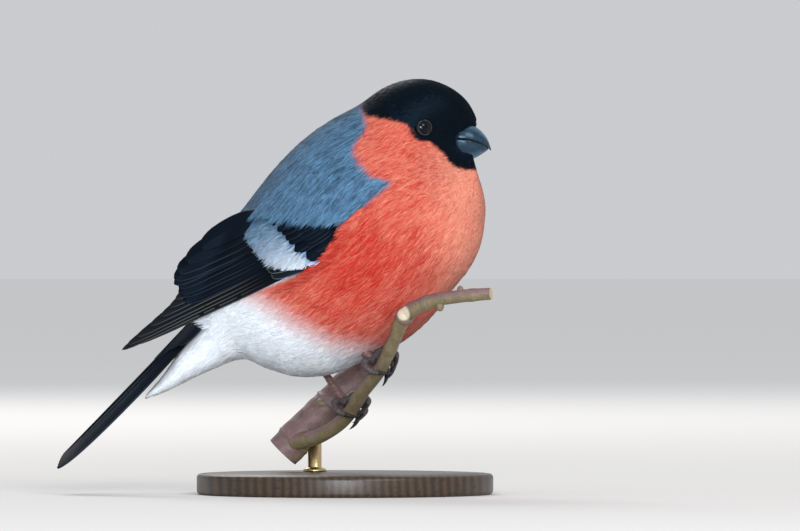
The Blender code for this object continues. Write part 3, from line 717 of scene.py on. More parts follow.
def fans(surface, out, a, b, lean, spread, length, width, depth, lift, barbs, steps, limit, seed):
    """Feathers at (a, b), each a fan of leaves. A leaf further from the shaft is shorter and leans out more,
    and the leaves of one lock share their tone and a little of their way."""
    rng = np.random.default_rng(seed)
    shape = (len(a), barbs)
    t = np.linspace(-1, 1, barbs)[None] + rng.normal(0, 0.12, shape)
    share = (1 - 0.30 * t**2) * rng.uniform(0.72, 1.06, shape)
    ahead = rng.uniform(0.0, 0.42, shape) * length[:, None]
    along, _ = slopes(surface, a, b, *steps)
    forward = ahead * np.cos(lean)[:, None]
    start = np.clip(a[:, None] + forward / np.linalg.norm(along, axis=-1)[:, None], *limit)
    way = lean[:, None] + spread * t + rng.normal(0, 0.04, shape) + 0.05 * locks(rng, shape)
    columns = (
        start.ravel(),
        np.broadcast_to(b[:, None], shape).ravel(),
        way.ravel(),
        (length[:, None] * share * (1 - 0.35 * ahead / length[:, None])).ravel(),
        (width[:, None] * rng.uniform(0.7, 1.25, shape)).ravel(),
        np.broadcast_to(depth[:, None], shape).ravel(),
        (lift[:, None] + rng.normal(0, 0.07, shape) * (0.4 + length[:, None] / 8)).ravel(),
    )
    points, shading = leaves(surface, out, *columns, steps, limit, rng)
    tone = np.clip(0.5 + 0.26 * locks(rng, shape) + rng.normal(0, 0.14, shape), 0, 1).ravel()
    warmth = np.clip(0.5 + 0.24 * locks(rng, shape) + rng.normal(0, 0.12, shape), 0, 1).ravel()
    return dict(points=points, shading=shading, tone=tone, warmth=warmth, a=columns[0], b=columns[1])


def put_leaves(name, made, shares, finish, slot, replaced, spots):
    """A mesh from leaves that share their finish, each with a patch of its own on the map at its root."""
    count = len(made["points"])
    faces = (np.arange(count)[:, None, None] * 5 + LEAF[None]).reshape(-1, 3)
    barb = channels(LEAF_ALONG, made["tone"][:, None], made["warmth"][:, None], 1.0)
    numbers = {"markings": np.repeat(shares, 5, axis=0), "barb": barb}
    unwrap = (spots[:, None] + LEAF_PATCH[None])[:, LEAF]
    normals = np.broadcast_to(made["shading"][:, None, None], (count, 6, 3, 3))
    return put_mesh(name, made["points"], faces, finish, slot, replaced, numbers, unwrap, normals)


print("one leaf has", len(LEAF), "triangles")

# %% [markdown]
# ## The lie of the coat
# Along u a feather is short and fine round the bill, longer on the neck, and longest on the belly. On the
# upper cheek the feathers sweep back rather than down. No feather grows where the folded wing hides it, on
# the eyeball, or where its tip would lie over the eye.

# %% Coat plan
EYE_RADIUS = 3.0
EYE_SHOWS = 1.15
BARE_ROUND_EYE = 1.95
EYE_CLEAR = 2.45
CAP_ROUND_EYE = 4.3
FEATHER = np.array(
    [
        # station, length, spacing, barb width
        (0.0, 1.2, 0.52, 0.12),
        (1.5, 1.6, 0.56, 0.13),
        (3.0, 2.3, 0.67, 0.14),
        (5.0, 4.4, 0.95, 0.17),
        (7.0, 6.6, 1.35, 0.21),
        (9.0, 8.6, 1.70, 0.25),
        (11.5, 8.2, 1.60, 0.24),
        (13.0, 6.6, 1.35, 0.21),
        (15.0, 6.4, 1.25, 0.21),
        (17.0, 7.6, 1.30, 0.23),
        (19.0, 6.6, 1.10, 0.21),
    ]
)
WING_COVER = np.array(
    [(2.0, 85.0), (-3.0, 76.0), (-5.5, 69.0), (-12.0, 64.5), (-26.0, 58.5), (-44.0, 52.5), (-58.0, 45.5),
     (-52.0, 53.5), (-48.0, 61.0), (-42.5, 70.0), (-33.0, 78.0), (-27.0, 84.0), (-12.0, 90.0)]
)


def inside_by(places, corners):
    """How deep places (x, z) lie inside a closed outline: how far its nearest side is, negative outside."""
    starts, ends = corners, np.roll(corners, -1, axis=0)
    run = ends - starts
    rest = places[..., None, :] - starts
    t = np.clip((rest * run).sum(-1) / (run**2).sum(-1), 0, 1)
    near = np.linalg.norm(rest - run * t[..., None], axis=-1).min(axis=-1)
    level = (starts[:, 1] > places[..., None, 1]) != (ends[:, 1] > places[..., None, 1])
    rise = np.where(run[:, 1] == 0, 1, run[:, 1])
    crossing = starts[:, 0] + run[:, 0] * (places[..., None, 1] - starts[:, 1]) / rise
    odd = (level & (places[..., None, 0] < crossing)).sum(-1) % 2 == 1
    return np.where(odd, near, -near)


FEATHER_REACH = 3.5
WING_SIDE = 6.0
# How many times more feathers there are at an eye, and how far that reaches.
EYE_MORE = 1.8
EYE_MORE_REACH = 4.2


def hidden(places):
    """True where a folded wing hides the body's side by more than a feather's reach."""
    deep = inside_by(places[..., [0, 2]], WING_COVER) > FEATHER_REACH
    return deep & (np.abs(places[..., 1]) > WING_SIDE)


def coat_density(u, v, places):
    """Feathers to the square millimetre: 1 over the spacing squared, and more of them close to an eye."""
    spacing = np.interp(u, FEATHER[:, 0], FEATHER[:, 2])
    near = from_eye(places)
    more = 1 + EYE_MORE * np.exp(-((near / EYE_MORE_REACH) ** 2))
    return np.where(hidden(places) | (near < BARE_ROUND_EYE), 0.0, more / spacing**2)


def from_back(v):
    """How far round the body v lies from the middle of the back, 0 there and a half on the belly."""
    return np.abs(((v + 0.5) % 1) - 0.5)


CHEEK_LEAN = 0.5
UPPER_CHEEK = ((4.5, 0.24), (2.2, 0.09))


def body_lean(u, v):
    """The angle between a feather and the way of u: the upper cheek sweeps back, to the back's side."""
    side = np.where(v % 1 < 0.5, 1.0, -1.0)
    return -side * CHEEK_LEAN * bell(u, from_back(v), *UPPER_CHEEK)


BARBS = 24
BARB_LIFT = 0.05
BARB_SPREAD = 0.30
CROWN_HALF = 0.14
CROWN_ENDS = (2, 7)
CROWN_SHORT = 0.8
EYE_SHORT = (2.5, 6.5)
BODY_LIMIT = (0.0, LAST - 0.02)


def coat_leaves():
    """The leaves of all small feathers of the body. They are shorter on the crown and close to an eye."""
    u, v = scatter(coat_density, body, 190, 200, (0.15, LAST - 0.3), (0.0, 1.0), 0.37)
    length, width = (np.interp(u, FEATHER[:, 0], FEATHER[:, n]) for n in (1, 3))
    crown = (from_back(v) < CROWN_HALF) & (u > CROWN_ENDS[0]) & (u < CROWN_ENDS[1])
    length = np.where(crown, length * CROWN_SHORT, length)
    length = length * (0.62 + 0.38 * ease(*EYE_SHORT, from_eye(body(u, v))))
    lift = np.full(len(u), BARB_LIFT)
    print("small feathers on the body:", len(u))
    return fans(body, body_out, u, v, body_lean(u, v), BARB_SPREAD, length, width, coat_depth(u), lift,
                BARBS, BODY_STEPS, BODY_LIMIT, 11)


COAT_MOST = 32000
PLUMES = (
    ("cap", cap_plumage, "cap_feathers"),
    ("rose", soft_plumage, "red_feathers"),
    ("snow", soft_plumage, "white_feathers"),
    ("ash", soft_plumage, "grey_feathers"),
)


def put_coat(made, prefix, replaced, spots):
    """Sorts leaves into plumes by the colour that is strongest in each, and parts a plume that has more than
    COAT_MOST leaves. A leaf is marked as its outer part is, and round an eye it is at least as black as its
    middle."""
    middle, tip = made["points"][:, 1], made["points"][:, 4]
    shares = markings(middle * 0.35 + tip * 0.65)
    round_eye = from_eye(middle) < CAP_ROUND_EYE
    shares[round_eye, 0] = np.maximum(shares[round_eye, 0], markings(middle[round_eye])[:, 0])
    black, red, white = shares[:, 0], shares[:, 1], shares[:, 2]
    kind = np.select([black > 0.5, white > 0.5, red > 0.5], [0, 2, 1], 3)
    for number, (word, finish, slot) in enumerate(PLUMES):
        chosen = np.flatnonzero(kind == number)
        for part, some in enumerate(np.array_split(chosen, len(chosen) // COAT_MOST + 1)):
            if len(some):
                few = {label: values[some] for label, values in made.items()}
                name = f"{prefix}_{word}_{part + 1}"
                put_leaves(name, few, shares[some], finish, slot, replaced, spots[some])


def make_coat():
    """The coat of the body, without the leaves whose tips lie over an eye."""
    made = coat_leaves()
    clear = from_eye(made["points"][:, 4]) > EYE_CLEAR
    made = {label: values[clear] for label, values in made.items()}
    put_coat(made, "coat", ("torso",), on_map(made["a"], made["b"] % 1))


make_coat()

# %% [markdown]
# ## Vanes
# A flight feather is a flat vane on either side of a stiff shaft. Here each one is a grid of two numbers, t
# along the shaft and c across it. Its outline is a half width that swells and then closes at the tip, its
# section is gently arched with the shaft as a low ridge, and it has a thin edge all round. A whole tier of
# feathers is worked out at once, as one array.

# %% Vane grid
VANE_T = 1 - (1 - np.linspace(0, 1, 15)) ** 1.5
VANE_C = np.array([-1.0, -0.86, -0.55, -0.2, -0.045, 0.045, 0.25, 0.6, 0.88, 1.0])
SHAFT_RISE = 0.10
SHAFT = np.array([0, 0, 0, 0, 1, 1, 0, 0, 0, 0]) * SHAFT_RISE


def vane_faces(count):
    """Triangles of closed vanes: an upper grid, the same grid below it turned over, and the rim between."""
    rows, columns = len(VANE_T), len(VANE_C)
    i, j = np.meshgrid(np.arange(rows - 1), np.arange(columns - 1), indexing="ij")
    a, b = (i * columns + j).ravel(), (i * columns + j + 1).ravel()
    top = two_triangles(a, b, b + columns, a + columns)
    below = top[:, ::-1] + rows * columns
    edge = np.concatenate(
        [
            np.arange(columns),
            np.arange(1, rows) * columns + columns - 1,
            (rows - 1) * columns + np.arange(columns - 1)[::-1],
            np.arange(1, rows)[::-1] * columns,
        ]
    )
    edge = edge[np.concatenate([[True], edge[1:] != edge[:-1]])]
    after, under = np.roll(edge, -1), rows * columns
    one = np.concatenate([top, below, two_triangles(edge, edge + under, after + under, after)])
    return (np.arange(count)[:, None, None] * 2 * under + one[None]).reshape(-1, 3)


NARROWEST = 0.0015


def outline(tip_power, base):
    """Half of a vane's width along t: it swells from its base and closes as the root of 1 - t to a power."""
    swell = base + (1 - base) * ease(0.0, 0.45, VANE_T)
    return swell * np.sqrt(np.maximum(1 - VANE_T**tip_power, NARROWEST))


ROUND_TIP = outline(7.0, 0.55)
SOFT_TIP = outline(4.0, 0.55)
POINTED_TIP = outline(2.6, 0.6)


def put_vanes(name, grids, finish, slot, replaced, tones):
    """A mesh of closed vanes from their upper grids and the thickness below, (count, 2, t, c, 3). On the map
    named OFBake each vane has a cell of its own."""
    count = len(grids)
    faces = vane_faces(count)
    t, c = np.meshgrid(VANE_T, (VANE_C + 1) / 2, indexing="ij")
    both = np.broadcast_to(np.stack([t, c], -1), (count, 2, *t.shape, 2))
    vane = channels(both[..., 0], both[..., 1], tones[:, None, None, None], 1.0)
    cells = math.ceil(math.sqrt(2 * count))
    number = np.arange(2 * count).reshape(count, 2)
    corner = np.stack([number % cells, number // cells], -1)[:, :, None, None]
    spots = (corner + 0.08 + 0.84 * both[..., ::-1]) / cells
    unwrap = spots.reshape(-1, 2)[faces]
    return put_mesh(name, grids, faces, finish, slot, replaced, {"vane": vane.reshape(-1, 4)}, unwrap)


print("one vane has", len(vane_faces(1)), "triangles")

# %% [markdown]
# ## The finish of flight feathers
# The flight feathers are blue-black with a silky gloss. The outer edges of most are worn to a thin pale
# line; on the glossy ones a thin bluish line along the outer edge is a painted sheen.
# Fine barbs run slantwise from the shaft: a sine of along plus across draws them in colour and in relief.
# The greater coverts fade from ash grey to a paler tip, and the loose feathers of the wing bar lie on them.

# %% Vane finish
def vane_finish(name, dark, tinted, edge, edge_width, tip, tip_start, roughness):
    """Two tones mixed by the feather's own, with slanting barbs, a paler outer edge, worn on most feathers
    and a painted sheen on the glossy ones, and a coloured tip.
    """
    recipe = Recipe(name, Roughness=roughness, Specular_IOR_Level=0.10, Specular_Tint=(0.45, 0.70, 1.0))
    along, across, tone, _ = recipe.number("vane")
    cloud = recipe.noise(340.0, 2.0)
    colour = recipe.mix(recipe.math("MULTIPLY", recipe.math("ADD", tone, cloud), 0.5), dark, tinted)
    off = recipe.math("ABSOLUTE", recipe.math("SUBTRACT", across, 0.5))
    slant = recipe.math("ADD", recipe.math("MULTIPLY", along, 620.0), recipe.math("MULTIPLY", off, -130.0))
    barbs = recipe.math("SINE", slant)
    varied = recipe.span(tone, 1.0, 0.4)
    tipped = recipe.math("MULTIPLY", recipe.span(along, tip_start, 1.0), varied)
    colour = recipe.mix(tipped, colour, tip)
    # The paler outer edge: wear on most feathers, a painted sheen on the glossy ones.
    lower = recipe.span(across, 1 - edge_width, 1 - edge_width * 0.35)
    pale_line = recipe.math("MULTIPLY", recipe.span(along, 0.15, 0.5), varied)
    colour = recipe.mix(recipe.math("MULTIPLY", lower, pale_line), colour, edge)
    recipe.bump(barbs, 0.00003, 0.25)
    return recipe.colour(recipe.shade(colour, recipe.span(barbs, -1.0, 1.0, 0.88, 1.08)))


INK = (0.0010, 0.0015, 0.0028)
NIGHT_BLUE = (0.0028, 0.0052, 0.0105)
WORN_EDGE = (0.065, 0.063, 0.060)
# The glossy feathers' bluish edge line is a painted sheen.
PAINTED_SHEEN_EDGE = (0.014, 0.024, 0.038)
SOOT = (0.005, 0.006, 0.008)
SOOT_TIP = (0.010, 0.010, 0.011)
SLATE = (0.012, 0.015, 0.02)
SLATE_EDGE = (0.12, 0.13, 0.145)
SLATE_TIP = (0.05, 0.055, 0.06)
ASH = (0.16, 0.26, 0.40)
ASH_DARK = (0.035, 0.085, 0.155)
ASH_EDGE = (0.38, 0.50, 0.66)
ASH_TIP = (0.50, 0.62, 0.78)
primary_finish = vane_finish("primary_vane", INK, SOOT, WORN_EDGE, 0.11, SOOT_TIP, 0.75, 0.42)
glossy_finish = vane_finish("glossy_vane", INK, NIGHT_BLUE, PAINTED_SHEEN_EDGE, 0.09, NIGHT_BLUE, 0.9, 0.36)
pale_edged_finish = vane_finish("pale_edged_vane", INK, SLATE, SLATE_EDGE, 0.08, SLATE_TIP, 0.95, 0.42)
bar_finish = vane_finish("wing_bar_vane", ASH, ASH_DARK, ASH_EDGE, 0.10, ASH_TIP, 0.58, 0.75)
print("vane finishes made")

# %% [markdown]
# ## The folded wing
# Folded, a wing is a stack of tiers that lie like roof tiles: primaries under secondaries, tertials on top
# of both, and the coverts over all their roots. Each tier below names where its first and last feather
# start and end in the side view, how far those ends stand out, and how the row of tips bows. The coverts
# start under the breast feathers and come out from them, as they do on the bird.

# %% Wing
TIERS = (
    # name, count, first (root, tip), last (root, tip),
    # width, rise, bow of the tips, bend, outline, finish, slot
    ("secondaries", 8, ((-18, 68.5), (-46.4, 55.6)), ((-22, 75), (-49.4, 61.4)),
     5.0, (0.28, 0.52), 0.0, -0.8, ROUND_TIP, glossy_finish, "flight_feathers"),
    ("tertials", 4, ((-21, 75), (-49.0, 62.4)), ((-20, 82.0), (-41.8, 71.8)),
     6.6, (0.70, 1.1), 2.2, -1.0, ROUND_TIP, glossy_finish, "flight_feathers"),
    ("hand_coverts", 3, ((-6.5, 68.2), (-21.2, 63.4)), ((-8, 71), (-22.8, 66.2)),
     4.4, (0.0, 0.75), 0.0, -0.3, ROUND_TIP, pale_edged_finish, "flight_feathers"),
    ("greater_coverts", 12, ((-4.6, 72.0), (-10.6, 66.2)), ((-17, 83), (-29.0, 75.4)),
     4.6, (0.1, 1.2), 4.2, -0.4, ROUND_TIP, bar_finish, "grey_feathers"),
    ("median_coverts", 8, ((-4.4, 72.8), (-9.8, 67.4)), ((-8, 85), (-19.2, 76.6)),
     4.2, (-0.6, 1.35), 0.8, -0.3, SOFT_TIP, glossy_finish, "flight_feathers"),
    ("lesser_coverts", 7, ((-1.4, 76.6), (-8.2, 69.8)), ((-3.5, 83), (-14.0, 75.6)),
     4.2, (-0.8, 1.3), 0.3, -0.2, SOFT_TIP, glossy_finish, "flight_feathers"),
)
PRIMARY_TIPS = (
    (-60.0, 43.6), (-64.5, 41.9), (-63.0, 43.4), (-60.4, 45.6), (-56.6, 48.8), (-53.4, 51.6), (-50.8, 54.2),
    (-49.0, 56.6)
)
PRIMARY_ROOT = np.array([-11.0, 67.0])
PRIMARY_STEP = np.array([-1.4, 0.5])
PRIMARY_WIDTH = 5.2
PRIMARY_BEND = -1.2
PRIMARY_STACK = 0.03
PRIMARY_RISE = 0.1
VANE_THICK = 0.10
VANE_LEAN = 0.42
VANE_ARCH = 0.16
VANE_RAGGED = 0.014
RAGGED_FROM = 0.6
RISEN_BY = 0.8
UNEVEN_LIFT = 0.02


def wing_vanes(side, roots, tips, width, rise, bend, form, rng):
    """Grids of vanes on the wing. In the side view each runs from root to tip, bowed by bend, and c crosses
    it towards its lower edge. Outwards it follows the wing's depth plus its rise, leans and is arched."""
    roots, tips = np.asarray(roots, float), np.asarray(tips, float)
    run = tips - roots
    across = unit(np.stack([-run[:, 1], run[:, 0]], -1))
    across = np.where(across[:, 1:] > 0, -across, across)
    t, c = VANE_T[None, :, None], VANE_C[None, None, :]
    sag = (4 * t * (1 - t) * bend)[..., None] * across[:, None, None]
    outer = (VANE_T > RAGGED_FROM)[None, :, None]
    ragged = 1 + rng.normal(0, VANE_RAGGED, (len(roots), len(VANE_T), 1)) * outer
    reach = (form[None, :, None] * c * width / 2 * ragged)[..., None]
    place = roots[:, None, None] + run[:, None, None] * t[..., None] + sag + across[:, None, None] * reach
    lift = rise[0] + (rise[1] - rise[0]) * ease(0, RISEN_BY, t)
    lift = lift + rng.uniform(-UNEVEN_LIFT, UNEVEN_LIFT, (len(roots), 1, 1))
    depth = wing_depth(place[..., 0], place[..., 1])
    out = depth + lift + VANE_LEAN * c - VANE_ARCH * c**2 + SHAFT[None, None] * (1 - t)
    upper = np.stack([place[..., 0], -side * out, place[..., 1]], -1)
    lower = upper + np.array([0.0, side * VANE_THICK, 0.0])
    return np.stack([upper, lower], axis=1)


def make_wing(side, word):
    """The primaries and then every tier, whose feathers lie evenly between its first and last."""
    rng = np.random.default_rng(5)
    node = "wing_" + word
    number = np.arange(len(PRIMARY_TIPS))
    roots = PRIMARY_ROOT + PRIMARY_STEP * number[:, None]
    stack = PRIMARY_STACK * number[:, None, None]
    rise = (stack, stack + PRIMARY_RISE)
    grids = wing_vanes(side, roots, PRIMARY_TIPS, PRIMARY_WIDTH, rise, PRIMARY_BEND, POINTED_TIP, rng)
    tones = rng.uniform(0, 1, len(grids))
    put_vanes("primaries_" + word, grids, primary_finish, "flight_feathers", (node,), tones)
    for name, count, first, last, width, rise, bow, bend, form, finish, slot in TIERS:
        t = np.linspace(0, 1, count)[:, None]
        first, last = np.array(first, float), np.array(last, float)
        ends = first[None] * (1 - t[..., None]) + last[None] * t[..., None]
        way = unit(ends[:, 1] - ends[:, 0])
        tips = ends[:, 1] + way * bow * 4 * t * (1 - t) + rng.normal(0, 0.25, (count, 2))
        grids = wing_vanes(side, ends[:, 0], tips, width, rise, bend, form, rng)
        tones = t[:, 0] if finish is bar_finish else rng.uniform(0, 1, count)
        put_vanes(f"{name}_{word}", grids, finish, slot, (node,), tones)


make_wing(1, "right")
make_wing(-1, "left")

# %% [markdown]
# ## Soft feathers over the wing
# Three kinds of soft feather lie over a folded wing. Grey scapulars hang from the shoulder over its top and
# end in loose, hair-like barbs. The wing bar is a band of loose feathers that pale from grey to white. Rose
# feathers of the flank close over the wing's front and lower edge. Under its tip, white feathers of the
# vent, greyed a little as painted shade, hang over the side of the tail's root. All are fans of leaves as on
# the
# body, on a patch of their own: a runs the way the feathers lie, and b goes across them.

# %% Soft wing feathers
def side_patch(side, starts, ends, bow, rises):
    """A patch between two rows of places, starts and ends, in the side view, and the way out of it. The ends
    bow outwards, and rises are how far it stands off the wing's inner face, evenly spaced along a."""
    starts, ends = np.array(starts, float), np.array(ends, float)

    def surface(a, b):
        a, b = np.broadcast_arrays(np.asarray(a, float), np.asarray(b, float))
        low, top = smooth(starts, b * (len(starts) - 1)), smooth(ends, b * (len(ends) - 1))
        reach = a * (1 + bow * np.sin(math.pi * np.clip(b, 0, 1)))
        place = low + (top - low) * reach[..., None]
        rise = np.interp(a, np.linspace(0, 1, len(rises)), rises)
        out = wing_depth(place[..., 0], place[..., 1]) + rise
        return np.stack([place[..., 0], -side * out, place[..., 1]], -1)

    def out(a, b):
        along, across = slopes(surface, np.clip(a, 0.06, 0.94), np.clip(b, 0.04, 0.96), 0.06, 0.04)
        way = unit(np.cross(along, across))
        return way * np.sign(way[..., 1:2] * -side)

    return surface, out


def patch_fans(side, patch, spacing, length, width, barbs, spread, rows, seed):
    """Fans of leaves over a patch, their roots on its rows of a from rows[0] to rows[1]."""

    def even(a, b, place):
        return np.full(a.shape, spacing**-2)

    surface, out = side_patch(side, *patch)
    a, b = scatter(even, surface, 40, 60, rows, (0.0, 1.0), 0.53)
    each = np.ones(len(a))
    return fans(surface, out, a, b, 0 * each, spread, length * each, width * each, 0.5 * each, 0 * each,
                barbs, (0.03, 0.03), (-0.05, 1.12), seed)


def put_patch(name, made, shares, slot, node):
    """The leaves of a patch as a mesh. On the map the patch fills the square, with a margin all round."""
    spots = 0.04 + 0.92 * np.clip(np.stack([made["a"], made["b"]], -1), 0, 1)
    put_leaves(name, made, shares, soft_plumage, slot, (node,), spots)


# Each patch: its row of starts, its row of ends, the bow of the ends and the rises.
SCAPULARS = (((12.0, 90.5), (-2.0, 95.5), (-12.5, 97.0)), ((-1.0, 77.8), (-17.0, 76.8), (-30.2, 77.4)),
             0.03, (-1.6, 0.2, 1.3, 1.65, 1.75))
WING_BAR = (((-9.4, 68.4), (-15.0, 73.4), (-21.0, 79.6)), ((-10.8, 65.6), (-23.0, 66.2), (-29.9, 75.0)),
            0.0, (1.2, 1.75, 1.95, 1.75))
FLANK = (((9.0, 84.5), (5.5, 76.5), (1.0, 69.5), (-4.5, 64.0), (-11.0, 59.5)),
         ((-0.5, 80.5), (-3.5, 73.0), (-8.5, 67.0), (-14.5, 62.6), (-21.5, 58.2)),
         0.0, (-2.0, -1.0, 0.0, 1.1, 1.7))
TUFT = (((-32.0, 55.0), (-33.5, 52.0), (-34.5, 50.0)), ((-45.5, 52.0), (-45.0, 49.5), (-40.5, 48.0)),
        0.0, (-3.0, -2.6, -2.2))
GREY_SHARES = (0.0, 0.0, 0.0, 0.5)
# The vent tuft is white with some grey mixed in as painted shade.
TUFT_SHADED_SHARES = (0.0, 0.0, 0.72, 0.5)


def make_soft_wing(side, word):
    """The scapulars, the wing bar, the flank feathers over the wing's front and the tuft beside the tail."""
    node = "wing_" + word
    made = patch_fans(side, SCAPULARS, 1.1, 6.8, 0.20, 23, 0.24, (0.02, 0.66), 23)
    shares = np.tile(GREY_SHARES, (len(made["a"]), 1))
    put_patch("scapulars_" + word, made, shares, "grey_feathers", node)

    made = patch_fans(side, WING_BAR, 0.85, 3.8, 0.24, 20, 0.22, (0.0, 0.66), 29)
    pale = 0.05 + 0.60 * ease(0.95, 0.0, made["b"]) * (0.6 + 0.4 * ease(0.0, 0.6, made["a"]))
    put_patch("wing_bar_" + word, made, channels(0.0, 0.0, pale, 0.5), "white_feathers", node)

    made = patch_fans(side, FLANK, 1.2, 6.2, 0.16, 24, 0.26, (0.0, 0.5), 37)
    shares = markings(made["points"][:, 0] + np.array([5.0, 0.0, 0.0]))
    shares[:, 1] = 1.0
    put_patch("flank_" + word, made, shares, "red_feathers", node)

    made = patch_fans(side, TUFT, 1.2, 4.6, 0.18, 24, 0.34, (0.0, 0.6), 41)
    shares = np.tile(TUFT_SHADED_SHARES, (len(made["a"]), 1))
    put_patch("vent_tuft_" + word, made, shares, "white_feathers", "vent")


make_soft_wing(1, "right")
make_soft_wing(-1, "left")

# %% [markdown]
# ## The tail
# Twelve tail feathers lie in a narrow stack, the middle pair on top. Each outer one lies a little lower and
# reaches a little further, which makes the slight notch at the end. Short glossy coverts hide their roots.

# %% Tail
TAIL_LENGTH = 57.5
TAIL_ROOT = np.array([-44.4, 51.0])
TAIL_SLOPE = math.radians(226.0)
TAIL_ALONG = np.array([math.cos(TAIL_SLOPE), math.sin(TAIL_SLOPE)])
TAIL_UP = np.array([TAIL_ALONG[1], -TAIL_ALONG[0]])
TAIL_PAIRS = 6
COVERT_PAIRS = 4
TAIL_TIP = outline(9.0, 0.8)


def on_tail(run, over_edge, across):
    """A place on the tail: run along it, over its upper edge, and across, where it is arched like a roof."""
    arch = (0.055 - 0.035 * run / TAIL_LENGTH) * across**2
    place = TAIL_ROOT + run[..., None] * TAIL_ALONG + (over_edge - arch)[..., None] * TAIL_UP
    return np.stack([place[..., 0], across, place[..., 1]], -1)


def tail_vanes(side, start, reach, middle, middle_grow, half, drop, drop_grow, form):
    """Grids of tail feathers. Reach, middle, drop and drop_grow have a value for each feather, or one for
    all: where it ends along the tail, how far from the tail's middle it lies, and how far below its top."""
    t, c = VANE_T[None, :, None], VANE_C[None, None, :]
    reach, middle, drop, drop_grow = (
        np.asarray(value, float).reshape(-1, 1, 1) for value in (reach, middle, drop, drop_grow)
    )
    run = start + (reach - start) * t + 0 * c
    across = side * (middle * (1 + middle_grow * t))
    across = across + side * c * half * form[None, :, None] * (0.75 + 0.3 * t)
    height = drop + drop_grow * t - 0.2 * c - 0.12 * c**2 + SHAFT[None, None] * (1 - t)
    upper = on_tail(run, height, across)
    lower = on_tail(run, height - VANE_THICK, across)
    return np.stack([upper, lower], axis=1)


def make_tail():
    """Both halves of the tail, the feathers as one mesh and the coverts over their roots as another."""
    rng = np.random.default_rng(8)
    n, few = np.arange(TAIL_PAIRS), np.arange(COVERT_PAIRS)
    ends, middles, drops = TAIL_LENGTH - 3.2 + 0.75 * n, (0.6 + 1.15 * n) * 0.55, -0.5 - 0.30 * n
    feathers = (2.0, ends, middles, 1.0, 3.5, drops, 0.17 * n, TAIL_TIP)
    ends, middles, drops = 16.0 - 2.6 * few, 0.8 + 1.5 * few, -0.05 - 0.25 * few
    coverts = (-5.0, ends, middles, 0.0, 2.6, drops, -0.3, SOFT_TIP)
    for name, settings in (("tail_feathers", feathers), ("tail_coverts", coverts)):
        grids = np.concatenate([tail_vanes(side, *settings) for side in (-1, 1)])
        tones = rng.uniform(0, 1, len(grids))
        put_vanes(name, grids, glossy_finish, "flight_feathers", ("tail",), tones)


make_tail()

# %% [markdown]
# ## The bill
# A bullfinch has a short, swollen bill for buds. Its ridge, the line of the mouth and its lower edge are
# three curves in the side view. Each half is a dome over, or under, the line of the mouth, and the upper
# half's edge overhangs the lower one's a little. The horn is slate grey, paler along the ridge as a painted
# highlight, and almost black at the edge along the mouth as painted shade.

# %% Bill
CULMEN = np.array([(29.8, 107.0), (33.2, 107.7), (36.5, 107.3), (39.5, 105.3), (41.4, 102.8), (42.4, 99.9)])
GAPE = np.array([(29.8, 103.0), (33.2, 102.9), (36.5, 102.5), (39.2, 101.7), (41.1, 100.7), (42.2, 99.6)])
GONYS = np.array([(29.8, 97.6), (33.2, 96.6), (36.3, 96.9), (38.8, 98.0), (40.5, 99.1), (41.5, 99.9)])
UPPER_HALF = np.array([4.0, 4.9, 4.6, 3.5, 2.0, 0.3])
LOWER_HALF = np.array([3.8, 4.65, 4.3, 3.15, 1.7, 0.3])
MOUTH_OVERLAP = 0.25
DOME_POWER = 0.9
DOME_SIDES = 32
MOUTH_SIDES = 8
BILL_ROWS = 56


def bill_half(rim, ridge, half):
    """Rings of one half: half an ellipse from rim to ridge, a little fuller than a true one, closed along
    the mouth by a shallow hollow. It reaches across by cos(turn), and rises by sin(turn) to a power."""
    u = np.linspace(0, len(ridge) - 1, BILL_ROWS)
    low, top, wide = smooth(rim, u), smooth(ridge, u), smooth(half[:, None], u)[:, 0]
    turn = np.linspace(0, math.pi, DOME_SIDES)
    rise, across = np.sin(turn) ** DOME_POWER, np.cos(turn)
    back = np.linspace(-1, 1, MOUTH_SIDES + 2)[1:-1]
    rise = np.concatenate([rise, 0.12 * (1 - back**2)])
    across = np.concatenate([across, back])
    place = low[:, None] + (top - low)[:, None] * rise[None, :, None]
    return np.stack([place[..., 0], wide[:, None] * across[None], place[..., 1]], -1)


def horn(name, base, pale, dark, growth):
    """Polished horn with growth lines across it, paler near the ridge as a painted highlight and almost
    black at the edge as painted shade along the mouth. Its stored numbers are how far along the piece a
    place is and how near to the ridge."""
    recipe = Recipe(name, Roughness=0.27, Specular_IOR_Level=0.5, Specular_Tint=(0.50, 0.78, 1.0))
    along, ridge, _, _ = recipe.number("horn")
    # Paler near the ridge: a painted highlight. Almost black at the edge: painted shade along the mouth.
    colour = recipe.mix(recipe.span(ridge, 0.45, 1.0), base, pale)
    colour = recipe.mix(recipe.span(ridge, 0.16, 0.0), colour, dark)
    colour = recipe.mix(recipe.span(along, 0.7, 1.0, 0.0, 0.6), colour, dark)
    cloud = recipe.noise(900.0, 4.0)
    lines = recipe.math("SINE", recipe.math("MULTIPLY", along, growth))
    recipe.bump(recipe.math("ADD", recipe.math("MULTIPLY", lines, 0.4), cloud), 0.00008, 0.5)
    return recipe.colour(recipe.shade(colour, recipe.span(cloud, 0.3, 0.7, 0.72, 1.22)))


# The bill's second colour is its painted highlight along the ridge.
bill_finish = horn("bill_horn", (0.013, 0.028, 0.047), (0.055, 0.120, 0.195), (0.002, 0.003, 0.005), 46.0)
claw_finish = horn("claw_horn", (0.022, 0.018, 0.015), (0.05, 0.043, 0.037), (0.010, 0.008, 0.007), 20.0)


